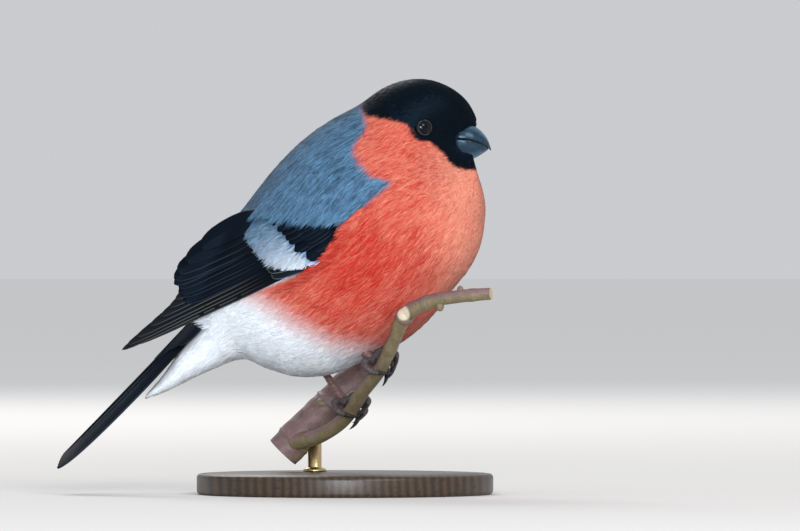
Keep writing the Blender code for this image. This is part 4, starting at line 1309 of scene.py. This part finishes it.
def put_bill(name, rim, ridge, half, node):
    """One half of the bill as a mesh."""
    rings = bill_half(rim, ridge, half)
    near = np.concatenate([np.sin(np.linspace(0, math.pi, DOME_SIDES)), np.zeros(MOUTH_SIDES)])
    numbers = channels(np.linspace(0, 1, BILL_ROWS)[:, None], near, 0.0, 1.0)
    faces = loft_faces(BILL_ROWS, DOME_SIDES + MOUTH_SIDES)
    put_mesh(name, loft_points(rings), faces, bill_finish, "bill", (node,), {"horn": loft_points(numbers)})


put_bill("bill_upper_horn", GAPE, CULMEN, UPPER_HALF, "bill_upper")
RAISED = GAPE + np.array([0.0, MOUTH_OVERLAP])
RAISED[-1] = (41.6, 100.2)
put_bill("bill_lower_horn", RAISED, GONYS, LOWER_HALF, "bill_lower")

# %% [markdown]
# ## The bristles round the bill
# Short black feathers point forwards over the bill's root and hide the nostrils. They are the same leaves as
# the coat's, on the bill's own dome. Their roots follow the edge of the face, which runs back from the ridge
# of the bill to the corner of the mouth.

# %% Bristles
def bill_patch(rim, ridge, half):
    """The dome of one half of the bill as a surface of a, along its rows, and b, half a turn over it."""

    def surface(a, b):
        a, b = np.broadcast_arrays(np.asarray(a, float), np.asarray(b, float))
        low, top, wide = smooth(rim, a), smooth(ridge, a), smooth(half[:, None], a)[..., 0]
        turn = math.pi * np.clip(b, 0, 1)
        place = low + (top - low) * np.sin(turn)[..., None] ** DOME_POWER
        return np.stack([place[..., 0], wide * np.cos(turn), place[..., 1]], -1)

    def out(a, b):
        along, across = slopes(surface, np.clip(a, 0.06, 4.9), np.clip(b, 0.03, 0.97), 0.05, 0.02)
        way = unit(np.cross(along, across))
        middle = smooth((rim + ridge) / 2, a)
        place = surface(a, b)
        spoke = np.stack([0 * place[..., 0], place[..., 1], place[..., 2] - middle[..., 1]], -1)
        return way * np.sign((way * spoke).sum(-1, keepdims=True))

    return surface, out


BRISTLE_LIMIT = 38.0
BRISTLE_SHARES = (1.0, 0.0, 0.0, 0.5)


def make_bristles(name, patch, count, face_edge, length, node, seed):
    """Bristles with roots along the edge of the face, but none that reach past the bill's middle or that the
    dome's bend has drawn out."""
    rng = np.random.default_rng(seed)
    surface, out = bill_patch(*patch)
    b = 0.03 + 0.94 * (np.arange(count) + rng.uniform(0, 1, count)) / count
    back, front = face_edge
    a = np.maximum(back + (front - back) * np.sin(math.pi * b) ** 1.2 - rng.uniform(0.0, 0.5, count), 0.05)
    lean, reach = rng.normal(0, 0.25, count), rng.uniform(0.6, 1.1, count) * length
    width, lift = rng.uniform(0.12, 0.2, count), rng.uniform(0.05, 0.35, count)
    columns = (a, b, lean, reach, width, np.full(count, 0.3), lift)
    points, shading = leaves(surface, out, *columns, (0.05, 0.02), (0.0, 4.5), rng)
    run = points[:, 4] - points[:, 0]
    near = (np.linalg.norm(run, axis=-1) < 1.5 * reach) & (points[:, 4, 0] < BRISTLE_LIMIT)
    points, shading, a, b, count = points[near], shading[near], a[near], b[near], int(near.sum())
    tone, warmth = rng.uniform(0.2, 0.8, count), rng.uniform(0, 1, count)
    made = dict(points=points, shading=shading, tone=tone, warmth=warmth)
    shares = np.tile(BRISTLE_SHARES, (count, 1))
    spots = np.stack([0.04 + 0.18 * np.clip(a, 0, 5), 0.04 + 0.92 * b], -1)
    print(name, count, "bristles")
    put_leaves(name, made, shares, cap_plumage, "cap_feathers", (node,), spots)


make_bristles("bristles_upper", (GAPE, CULMEN, UPPER_HALF), 900, (0.40, 1.65), 2.1, "bill_upper", 19)
make_bristles("bristles_lower", (RAISED, GONYS, LOWER_HALF), 560, (0.40, 1.45), 1.5, "bill_lower", 20)

# %% [markdown]
# ## The eyes
# Each eye is a ball that stands only a little out of the face. A dark brown iris surrounds a black pupil
# under a wet cornea. A narrow ring of bare dark skin, the lids, closes on it, with a grey painted highlight
# along its crest. The ring is one profile turned round the way the eye looks, a touch longer from front to
# back than it is high.

# %% Eyes
def eye_frame(side):
    """The eyeball's centre, the way it looks, and the ways forwards and up across it."""
    x, z = EYE_AT

    def depth(ahead, up):
        return float(side_depth(np.array(x + ahead), np.array(z + up)))

    rate_x, rate_z = (depth(2, 0) - depth(-2, 0)) / 4, (depth(0, 2) - depth(0, -2)) / 4
    out = unit(np.array([-rate_x, 1.0, -rate_z]))
    centre = np.array([x, depth(0, 0), z]) + out * (EYE_SHOWS - EYE_RADIUS)
    flip = np.array([1, -side, 1])
    out, centre = out * flip, centre * flip
    ahead = unit(np.array([1.0, 0, 0]) - out * out[0])
    return centre, out, ahead, np.cross(out, ahead) * -side


UPRIGHT = np.eye(3)[[2, 0, 1]]


def turned(profile, centre, out, ahead, up, sides, stretch=(1.0, 1.0)):
    """Rings of a profile of (radius, height) turned round the way out, stretched ahead and up. UPRIGHT holds
    the three ways for an upright axis."""
    profile = np.asarray(profile, float)
    turn = np.linspace(0, 2 * math.pi, sides, endpoint=False)
    spoke = np.cos(turn)[:, None] * ahead * stretch[0] + np.sin(turn)[:, None] * up * stretch[1]
    return centre + profile[:, None, 0:1] * spoke[None] + profile[:, None, 1:2] * out


def eye_finish():
    """A wet ball. near is how near a place is to the middle of the look, and turn goes round it."""
    recipe = Recipe("eyeball", Roughness=0.05, Specular_IOR_Level=0.28, Specular_Tint=(0.55, 0.78, 1.0))
    near, turn, _, _ = recipe.number("look")
    streaks = recipe.math("SINE", recipe.math("MULTIPLY", turn, 340.0))
    iris = recipe.mix(recipe.span(streaks, -1.0, 1.0), (0.0012, 0.0007, 0.0006), (0.0024, 0.0013, 0.0010))
    colour = recipe.mix(recipe.span(near, 0.955, 0.965), iris, (0.0006, 0.0006, 0.0006))
    return recipe.colour(colour)


def lid_finish():
    """Dark skin with a painted highlight, paler and uneven, along the crest of the ring."""
    recipe = Recipe("lid_skin", Roughness=0.5, Specular_IOR_Level=0.4)
    near, _, _, _ = recipe.number("look")
    grain = recipe.noise(2600.0, 3.0)
    uneven = recipe.span(recipe.noise(900.0, 2.0), 0.40, 0.62)
    # The paler grey along the crest is a painted highlight.
    pale_line = recipe.math("MULTIPLY", recipe.span(near, 0.45, 0.95), uneven)
    colour = recipe.mix(pale_line, (0.004, 0.0045, 0.006), (0.085, 0.10, 0.125))
    recipe.bump(grain, 0.0001, 0.6)
    return recipe.colour(colour)


eyeball_finish, lid_skin_finish = eye_finish(), lid_finish()
LID_PROFILE = (
    (1.98, 1.7), (1.99, 2.24), (2.06, 2.36), (2.16, 2.39), (2.26, 2.32), (2.35, 2.16), (2.46, 1.9),
    (2.54, 1.4), (2.5, 0.8), (2.3, 0.8)
)
LID_STRETCH = (1.03, 0.97)
LID_HIGHLIGHT_RADIUS = 2.20
BALL_ROWS, BALL_SIDES = 48, 64
LID_ROWS, LID_SIDES = 32, 72


def make_eye(side, word):
    """An eyeball, and the ring of lids round it, which closes both along its profile and round the eye."""
    axes = eye_frame(side)
    fall = np.linspace(0.02, math.pi - 0.02, BALL_ROWS)
    ball = np.stack([EYE_RADIUS * np.sin(fall), EYE_RADIUS * np.cos(fall)], -1)
    points = loft_points(turned(ball, *axes, BALL_SIDES))
    look = loft_points(channels(np.cos(fall)[:, None], np.linspace(0, 1, BALL_SIDES)[None], 0.0, 1.0))
    faces = loft_faces(BALL_ROWS, BALL_SIDES)
    put_mesh("eyeball_" + word, points, faces, eyeball_finish, "eye", ("eye_" + word,), {"look": look})

    closed = np.array(LID_PROFILE + LID_PROFILE[:1])
    profile = smooth(closed, np.linspace(0, len(LID_PROFILE), LID_ROWS + 1))[:-1]
    points = turned(profile, *axes, LID_SIDES, LID_STRETCH)
    i, j = np.meshgrid(np.arange(LID_ROWS), np.arange(LID_SIDES), indexing="ij")
    row, next_row, k = i * LID_SIDES, (i + 1) % LID_ROWS * LID_SIDES, (j + 1) % LID_SIDES
    faces = two_triangles(row + j, row + k, next_row + k, next_row + j)
    # Where on the lids' crest the painted highlight lies.
    crest_highlight = np.exp(-(((profile[:, 0] - LID_HIGHLIGHT_RADIUS) / 0.11) ** 2)) * (profile[:, 1] > 2.1)
    look = channels(crest_highlight[:, None], np.linspace(0, 1, LID_SIDES)[None], 0.0, 1.0).reshape(-1, 4)
    put_mesh("lids_" + word, points, faces, lid_skin_finish, "leg_skin", ("head",), {"look": look})


make_eye(1, "right")
make_eye(-1, "left")

# %% [markdown]
# ## The twig and the branch
# The bird grips a twig that forks from a thicker branch, both cut short. Each is a tube along a smooth
# route, with knots as local swellings and a fine uneven skin from a few sines of angle and length. The bark
# is olive below and purple-brown above, where the light reaches it, with pale pores. The cut ends show wood.

# %% Perch
STEM = np.array(
    [
        (-15.0, 21.5, 14.6, 2.6),
        (-7.0, 15.5, 17.0, 2.2),
        (-0.3, 9.5, 21.5, 2.0),
        (5.0, -0.5, 29.6, 2.0),
        (10.4, -9.5, 36.6, 2.0),
        (14.4, -17.5, 45.3, 2.0),
        (17.6, -23.0, 52.0, 2.3),
        (24.1, -28.0, 55.8, 1.9),
        (33.0, -31.5, 57.5, 1.8),
        (42.0, -34.0, 58.2, 1.7),
    ]
)
BRANCH = np.array(
    [
        (-18.4, 24.5, 11.6, 5.1),
        (-10.0, 24.0, 20.3, 5.0),
        (-1.4, 23.6, 28.7, 5.0),
        (8.6, 23.0, 38.2, 4.8),
    ]
)
# Each bud: its place, its radius and how far it is drawn out.
BUDS = (
    (17.3, -23.0, 51.6, 2.6, 1.0),
    (-6.6, 20.4, 26.0, 2.1, 0.8),
    (33.2, -31.4, 59.0, 1.0, 1.5),
    (27.4, -29.8, 54.6, 1.2, 1.2),
)
BUD_ROWS, BUD_SIDES = 14, 20
SCAR = (17.0, -25.3, 52.6)
CUT_SHARES = np.array([0.0, 0.4, 0.8, 0.97])
CUT_MIDDLE = 0.0005
KNOT_REACH = 0.012


def bark_finish():
    """Bark with pores, dark cracks and a scar, and rings of wood on the cut ends. It reads how far a place
    faces up, whether it is on a cut end, its share of the radius, and whether it is on the thick branch."""
    recipe = Recipe("bark", Roughness=0.50, Specular_IOR_Level=0.4)
    up, end, radius, thick = recipe.number("bark")
    cloud = recipe.noise(260.0, 4.0)
    fine = recipe.noise(1500.0, 4.0)
    streaks = recipe.noise(500.0, 3.0, (1.0, 1.0, 0.22))
    olive = recipe.mix(streaks, (0.10, 0.075, 0.040), (0.27, 0.220, 0.12))
    plum = recipe.mix(cloud, (0.075, 0.040, 0.042), (0.28, 0.175, 0.17))
    upward = recipe.math("ADD", up, recipe.math("MULTIPLY", recipe.math("SUBTRACT", cloud, 0.5), 1.1))
    upward = recipe.math("ADD", upward, recipe.math("MULTIPLY", thick, 0.35))
    colour = recipe.mix(recipe.span(upward, 0.40, 0.72), olive, plum)
    pores = recipe.span(fine, 0.66, 0.73)
    colour = recipe.mix(recipe.math("MULTIPLY", pores, 0.5), colour, (0.46, 0.40, 0.32))
    cracks = recipe.span(fine, 0.42, 0.30)
    colour = recipe.mix(recipe.math("MULTIPLY", cracks, 0.6), colour, (0.05, 0.034, 0.028))
    from_scar = recipe.add("ShaderNodeVectorMath", {"operation": "DISTANCE"})
    recipe.feed(from_scar.inputs[0], recipe.place())
    recipe.feed(from_scar.inputs[1], tuple(value * MM for value in SCAR))
    colour = recipe.mix(recipe.span(from_scar.outputs["Value"], 0.0024, 0.0017), colour, (0.60, 0.52, 0.40))
    rings = recipe.math("SINE", recipe.math("MULTIPLY", radius, 60.0))
    wood = recipe.mix(recipe.span(rings, -1.0, 1.0), (0.42, 0.30, 0.17), (0.62, 0.49, 0.31))
    recipe.bump(recipe.math("ADD", streaks, recipe.math("MULTIPLY", fine, 0.6)), 0.00035, 0.7)
    return recipe.colour(recipe.mix(recipe.span(end, 0.45, 0.55), colour, wood))


bark = bark_finish()


def knots(places, heights):
    """A factor for a tube's radius: uneven sines, and a smooth bell at each knot's place along the route."""

    def wobble(t, turn):
        uneven = 0.03 * np.sin(2 * turn + 9 * t) + 0.02 * np.sin(3 * turn - 23 * t)
        uneven = uneven + 0.012 * np.sin(5 * turn + 47 * t)
        pairs = zip(places, heights)
        bells = sum(height * np.exp(-(((t - place) / KNOT_REACH) ** 2)) for place, height in pairs)
        return 1 + uneven + bells

    return wobble


def wooden(route, sides, steps, places, heights, thick):
    """A tube with flat cut ends: its points, its faces and the numbers that the bark reads."""
    rings = tube(route, sides, steps, knots(places, heights))
    middle = rings.mean(axis=1, keepdims=True)
    shrunk = np.maximum(CUT_SHARES, CUT_MIDDLE)[:, None, None]
    first, last = middle[0] + (rings[0] - middle[0]) * shrunk, middle[-1] + (rings[-1] - middle[-1]) * shrunk
    whole = np.concatenate([first, rings, last[::-1]])
    share = np.concatenate([CUT_SHARES, np.ones(steps), CUT_SHARES[::-1]])[:, None]
    facing = np.full((len(whole), sides), 0.5)
    facing[len(first) : -len(last)] = unit(rings - middle)[..., 2] * 0.5 + 0.5
    numbers = channels(facing, share < 1, share, thick)
    return loft_points(whole), loft_faces(len(whole), sides), loft_points(numbers)


BUD_BARK = (0.2, 0.0, 0.5, 0.8)


def bud(x, y, z, radius, stretch):
    """A small bud: a ball drawn out along its height."""
    fall = np.linspace(0.05, math.pi - 0.05, BUD_ROWS)
    profile = np.stack([radius * np.sin(fall) ** 0.9, -radius * stretch * np.cos(fall)], -1)
    rings = turned(profile, np.array([x, y, z]), *UPRIGHT, BUD_SIDES)
    numbers = np.broadcast_to(BUD_BARK, (*rings.shape[:2], 4))
    return loft_points(rings), loft_faces(BUD_ROWS, BUD_SIDES), loft_points(numbers)


def make_perch():
    """Branch, twig and buds as one mesh."""
    parts = [
        wooden(BRANCH, 56, 110, (0.15, 0.55, 0.86), (0.05, 0.07, 0.04), 1.0),
        wooden(STEM, 36, 300, (0.30, 0.52, 0.66, 0.77, 0.93), (0.05, 0.08, 0.22, 0.10, 0.08), 0.0),
    ]
    parts += [bud(*row) for row in BUDS]
    points, faces = joined(parts)
    numbers = np.concatenate([part[2] for part in parts])
    put_mesh("twig_and_branch", points, faces, bark, "bark", ("perch",), {"bark": numbers})


make_perch()

# %% [markdown]
# ## Feet and claws
# Each foot has three toes forwards and one back, bent round the twig. A toe is a tube whose radius falls
# along each scute, one of the overlapping plates of its skin, and swells at each joint. A claw is a tube
# that narrows on a curve, which bends on round the twig.

# %% Feet
GAP = 0.3
TOE_RADIUS = 0.95
TOE_ARCH = 2.0
PAD_RADIUS = 1.75
CLAW_LENGTH = 4.2
CLAW_HOOK = 1.6
TWIG_RADIUS = 2.0
TARSUS_RADIUS = 1.25
BALL_HEIGHT = 0.8
TOE_SIDES, TOE_STEPS, TOE_PLATES = 20, 120, 11
CLAW_SIDES, CLAW_STEPS = 20, 48
LEG_SIDES, LEG_STEPS, LEG_PLATES = 24, 150, 13
PAD_STEPS, PAD_PLATES = 40, 3
TOE_SWELLS = (0.40, 0.78)
# How much greyer than brown each skin is.
TOE_GREY, PAD_GREY, LEG_GREY = 0.85, 0.8, 0.12
# Each toe: its name, its place along the twig, how far round the twig it goes, and the side it starts on.
TOES = (("inner", 3.6, 1.95, 1), ("middle", 0.0, 2.2, 1), ("outer", -3.6, 1.95, 1), ("hind", 1.8, 1.9, -1))
# Each foot: its side, its place on the twig, the way its ball lies over the twig, and the knee's place.
FEET = (
    ("left", (1.4, 6.3, 23.8), (-0.35, 0.1, 1.0), (-9.0, 9.5, 40.0)),
    ("right", (10.2, -9.3, 36.4), (-0.45, -0.15, 1.0), (-1.0, -11.0, 50.0)),
)


def skin_finish():
    """Scaly skin from brown to grey, dark in the grooves between its plates."""
    recipe = Recipe("leg_skin", Roughness=0.48, Specular_IOR_Level=0.4)
    _, scute, dark, _ = recipe.number("scutes")
    cloud = recipe.noise(1300.0, 3.0)
    brown = recipe.mix(cloud, (0.10, 0.048, 0.045), (0.22, 0.115, 0.105))
    grey = recipe.mix(cloud, (0.028, 0.026, 0.030), (0.075, 0.070, 0.078))
    colour = recipe.mix(dark, brown, grey)
    colour = recipe.mix(recipe.span(scute, 0.25, 0.0), colour, (0.018, 0.014, 0.014))
    recipe.bump(recipe.math("ADD", scute, recipe.math("MULTIPLY", cloud, 0.4)), 0.0001, 0.6)
    return recipe.colour(colour)


leg_finish = skin_finish()


def scuted(route, sides, steps, plates, dark, pads=()):
    """A tube with overlapping plates: within each plate the radius falls by a tenth, by the cube of the way
    along it, then steps back up. It swells by a smooth bell at each of the pads."""

    def fallen(t):
        return ((t * plates) % 1) ** 3

    def wobble(t, turn):
        bumps = sum(0.16 * np.exp(-(((t - place) / 0.05) ** 2)) for place in pads)
        return 1.04 - 0.10 * fallen(t) + bumps + 0 * turn

    rings = tube(route, sides, steps, wobble)
    t = np.broadcast_to(np.linspace(0, 1, steps)[:, None], rings.shape[:2])
    return loft_points(rings), loft_faces(steps, sides), loft_points(channels(t, 1 - fallen(t), dark, 1.0))


def toe_route(centre, along, up, ahead, shift, turn_to, face):
    """A toe's middle line round the twig: its angle runs from near the top to turn_to, and its distance bows
    out by the sine of t."""
    t = np.linspace(0, 1, 6)
    start = math.radians(6)
    angle = start + (turn_to - start) * t
    clear = TWIG_RADIUS + GAP + TOE_RADIUS + 0.1
    reach = clear + TOE_ARCH * np.sin(math.pi * t) + 0.5 * t
    slide = shift * (0.25 + 0.75 * np.sin(t * math.pi / 2))
    spoke = np.cos(angle)[:, None] * up + face * np.sin(angle)[:, None] * ahead
    return centre + spoke * reach[:, None] + slide[:, None] * along


def claw_rings(centre, along, route):
    """A claw: from the toe's end it goes on straight and bends in by the square of t."""
    end = route[-1]
    step = unit(end - route[-2])
    inward = centre - end
    inward = inward - along * inward.dot(along)
    inward = unit(inward - step * inward.dot(step))
    t = np.linspace(0, 1, 9)
    straight = -0.5 + (GAP + 0.5 + CLAW_LENGTH) * t
    places = end + step * straight[:, None] + inward * (CLAW_HOOK * t**2)[:, None]
    radius = 0.72 * (1 - t) ** 0.75 + 0.05
    return tube(np.column_stack([places, radius]), CLAW_SIDES, CLAW_STEPS)


def make_foot(word, place, lean, knee):
    """Four toes with their claws, the ball they meet in, and the leg up to the knee."""
    stem = smooth(STEM, np.linspace(0, len(STEM) - 1, 200))[:, :3]
    near = np.argmin(((stem - place) ** 2).sum(axis=1))
    centre, along = stem[near], unit(stem[near + 3] - stem[near - 3])
    up = np.array(lean, float)
    up = unit(up - along * up.dot(along))
    ahead = np.cross(along, up)
    ahead = ahead * np.sign(ahead[0])
    ball = centre + up * (TWIG_RADIUS + GAP + TOE_RADIUS + BALL_HEIGHT)
    parts = []
    for label, shift, turn_to, face in TOES:
        route = toe_route(centre, along, up, ahead, shift, turn_to, face)
        radius = TOE_RADIUS * np.array([1.05, 1.0, 1.08, 0.9, 0.98, 0.72])
        toe = np.column_stack([route, radius])
        parts.append(scuted(toe, TOE_SIDES, TOE_STEPS, TOE_PLATES, TOE_GREY, TOE_SWELLS))
        points = loft_points(claw_rings(centre, along, route))
        claw_numbers = channels(np.linspace(0, 1, CLAW_STEPS)[:, None], np.full(CLAW_SIDES, 0.5), 0.0, 1.0)
        numbers = {"horn": loft_points(claw_numbers)}
        node, faces = f"claw_{label}_{word}", loft_faces(CLAW_STEPS, CLAW_SIDES)
        put_mesh(node + "_horn", points, faces, claw_finish, "claw", (node,), numbers)
    knee = np.array(knee, float)
    pad = ball + unit(knee - ball) * np.linspace(-1.5, 1.5, 5)[:, None]
    pad_radius = PAD_RADIUS * np.array([0.25, 0.85, 1.0, 0.9, 0.6])
    parts.append(scuted(np.column_stack([pad, pad_radius]), LEG_SIDES, PAD_STEPS, PAD_PLATES, PAD_GREY))
    points, faces = joined(parts)
    numbers = {"scutes": np.concatenate([part[2] for part in parts])}
    put_mesh(f"foot_{word}_skin", points, faces, leg_finish, "leg_skin", ("foot_" + word,), numbers)
    shin = ball + (knee - ball) * np.linspace(0, 1, 5)[:, None]
    radius = TARSUS_RADIUS * np.array([1.25, 1.0, 0.86, 0.90, 1.15])
    leg = scuted(np.column_stack([shin, radius]), LEG_SIDES, LEG_STEPS, LEG_PLATES, LEG_GREY)
    put_mesh(f"leg_{word}_skin", *leg[:2], leg_finish, "leg_skin", ("leg_" + word,), {"scutes": leg[2]})


for foot in FEET:
    make_foot(*foot)

# %% [markdown]
# ## The display stand
# A turned wooden disc, stained dark, carries a thin brass rod that holds the branch from below. Both are
# profiles turned round an upright axis. The wood shows rings on its top, drawn by the distance from a pith
# that lies off to one side.

# %% Stand
BASE_RADIUS = 43.0
BASE_HEIGHT = 6.0
BASE_BEVEL = 1.2
BASE_MIDDLE = 20.0
BASE_SIDES = 128
GROOVE = ((40.9, 0.0), (40.7, -0.25), (40.4, 0.0))
ROD_SIDES = 48
ROD_FOOT = (-9.0, 24.0)
ROD_RADIUS = 2.0
ROD_TOP = 15.0
# The collar at the rod's foot: radii, and heights over the base.
COLLAR = ((3.4, 0.0), (3.4, 0.5), (3.0, 0.9), (2.2, 1.1), (ROD_RADIUS, 1.4))
PITH_OFF = (0.09, 0.02, 0.0)
PITH_STRETCH = (1.0, 0.30, 1.0)


def stand_finish():
    """Stained wood: a sine of the distance from the pith, made uneven by noise, and fine dark pores."""
    recipe = Recipe("stained_wood", Roughness=0.38, Specular_IOR_Level=0.45)
    moved = recipe.add("ShaderNodeMapping", Vector=recipe.place(), Location=PITH_OFF, Scale=PITH_STRETCH)
    uneven = recipe.math("MULTIPLY", recipe.noise(40.0, 4.0, (1.0, 0.25, 1.0)), 9.0)
    pith = recipe.math("MULTIPLY", recipe.length(moved.outputs[0]), 2600.0)
    rings = recipe.math("SINE", recipe.math("ADD", pith, uneven))
    fine = recipe.noise(900.0, 3.0, (1.0, 0.06, 1.0))
    colour = recipe.mix(recipe.span(rings, -1.0, 1.0), (0.030, 0.018, 0.011), (0.062, 0.038, 0.023))
    colour = recipe.mix(recipe.span(fine, 0.55, 0.70), colour, (0.020, 0.012, 0.008))
    recipe.bump(fine, 0.00006, 0.5)
    return recipe.colour(colour)


def rod_finish():
    """Brass with a satin shine."""
    recipe = Recipe("satin_brass", Metallic=1.0, Roughness=0.30)
    return recipe.colour((0.60, 0.46, 0.23))


def upright(name, profile, x, y, sides, finish, slot, node):
    """A profile of (radius, height) turned round an upright axis at (x, y), as a mesh."""
    points = loft_points(turned(profile, np.array([x, y, 0.0]), *UPRIGHT, sides))
    put_mesh(name, points, loft_faces(len(profile), sides), finish, slot, (node,))


def make_stand():
    """The disc, with rounded edges and a fine groove, and the rod with its collar."""
    bend = np.linspace(0, math.pi / 2, 7)
    soft, high = BASE_RADIUS - BASE_BEVEL, BASE_HEIGHT - BASE_BEVEL
    lower = np.stack([soft + BASE_BEVEL * np.sin(bend), BASE_BEVEL - BASE_BEVEL * np.cos(bend)], -1)
    upper = np.stack([soft + BASE_BEVEL * np.cos(bend), high + BASE_BEVEL * np.sin(bend)], -1)
    groove = np.array(GROOVE) + (0.0, BASE_HEIGHT)
    profile = np.concatenate([[(BASE_MIDDLE, 0.0)], lower, upper, groove, [(BASE_MIDDLE, BASE_HEIGHT)]])
    upright("stand_base_disc", profile, 0.0, 0.0, BASE_SIDES, stand_finish(), "stand_wood", "stand_base")
    foot = BASE_HEIGHT + 0.02
    collar = [(radius, foot + height) for radius, height in COLLAR]
    profile = collar + [(ROD_RADIUS, ROD_TOP - 0.4), (1.2, ROD_TOP)]
    upright("stand_rod_brass", profile, *ROD_FOOT, ROD_SIDES, rod_finish(), "stand_rod", "stand_rod")


make_stand()

# %% [markdown]
# ## Floor and light
# The floor is one wide pale plane, painted paler far off than near the bird as painted light that makes up
# for the lamps' light falling away, and the world behind it is nearly as pale, so the horizon stays soft.
# A large key lamp stands high, in front and to the right as the low sun does outdoors. A smaller, cooler one
# fills the shadows from straight in front, and a third from behind lights the edges of the feathers.

# %% Floor and light
FLOOR_HALF = 40.0
FLOOR_NEAR = (0.74, 0.73, 0.72)
# Far off the floor is painted paler, as painted light where the lamps' light has fallen away.
FLOOR_FAR_PAINTED_LIGHT = (0.94, 0.93, 0.92)
LAMP_TARGET = Vector((0.0, 0.0, 0.08))
WORLD_COLOUR = (0.70, 0.715, 0.74, 1)
WORLD_STRENGTH = 0.84


def make_floor():
    """A square plane, darker near the bird and painted paler far off, as painted light where the lamps'
    light has fallen away.
    """
    mesh = bpy.data.meshes.new("floor")
    corners = [(FLOOR_HALF * x, FLOOR_HALF * y, 0) for x, y in ((-1, -1), (1, -1), (1, 1), (-1, 1))]
    mesh.from_pydata(corners, [], [(0, 1, 2, 3)])
    recipe = Recipe("floor_paint", Roughness=1.0, Specular_IOR_Level=0.0)
    away = recipe.length(recipe.place())
    # Paler with distance: painted light in place of the lamps' light, which falls away.
    colour = recipe.mix(recipe.span(away, 0.3, 2.5), FLOOR_NEAR, FLOOR_FAR_PAINTED_LIGHT)
    mesh.materials.append(recipe.colour(colour))
    floor = bpy.data.objects.new("floor", mesh)
    bpy.context.scene.collection.objects.link(floor)


def add_lamp(name, place, size, power, colour):
    """A square lamp that faces the middle of the bird."""
    lamp = bpy.data.objects.new(name, bpy.data.lights.new(name, "AREA"))
    bpy.context.scene.collection.objects.link(lamp)
    lamp.data.size = size
    lamp.data.energy = power
    lamp.data.color = colour
    lamp.location = place
    lamp.rotation_euler = (LAMP_TARGET - Vector(place)).to_track_quat("-Z", "Y").to_euler()


def make_world():
    """An even pale surround, shown without a film curve."""
    world = bpy.data.worlds.new("studio")
    world.use_nodes = True
    background = world.node_tree.nodes["Background"]
    background.inputs["Color"].default_value = WORLD_COLOUR
    background.inputs["Strength"].default_value = WORLD_STRENGTH
    bpy.context.scene.world = world
    bpy.context.scene.view_settings.view_transform = "Standard"


make_floor()
make_world()
add_lamp("key", (0.9, -1.5, 1.1), 0.8, 14, (1.0, 0.97, 0.93))
add_lamp("fill", (0.0, -1.45, 0.23), 0.44, 15, (0.90, 0.95, 1.0))
add_lamp("rim", (-0.4, 1.3, 1.2), 0.8, 12, (1.0, 0.98, 0.95))
print("lamps:", len(bpy.data.lights))
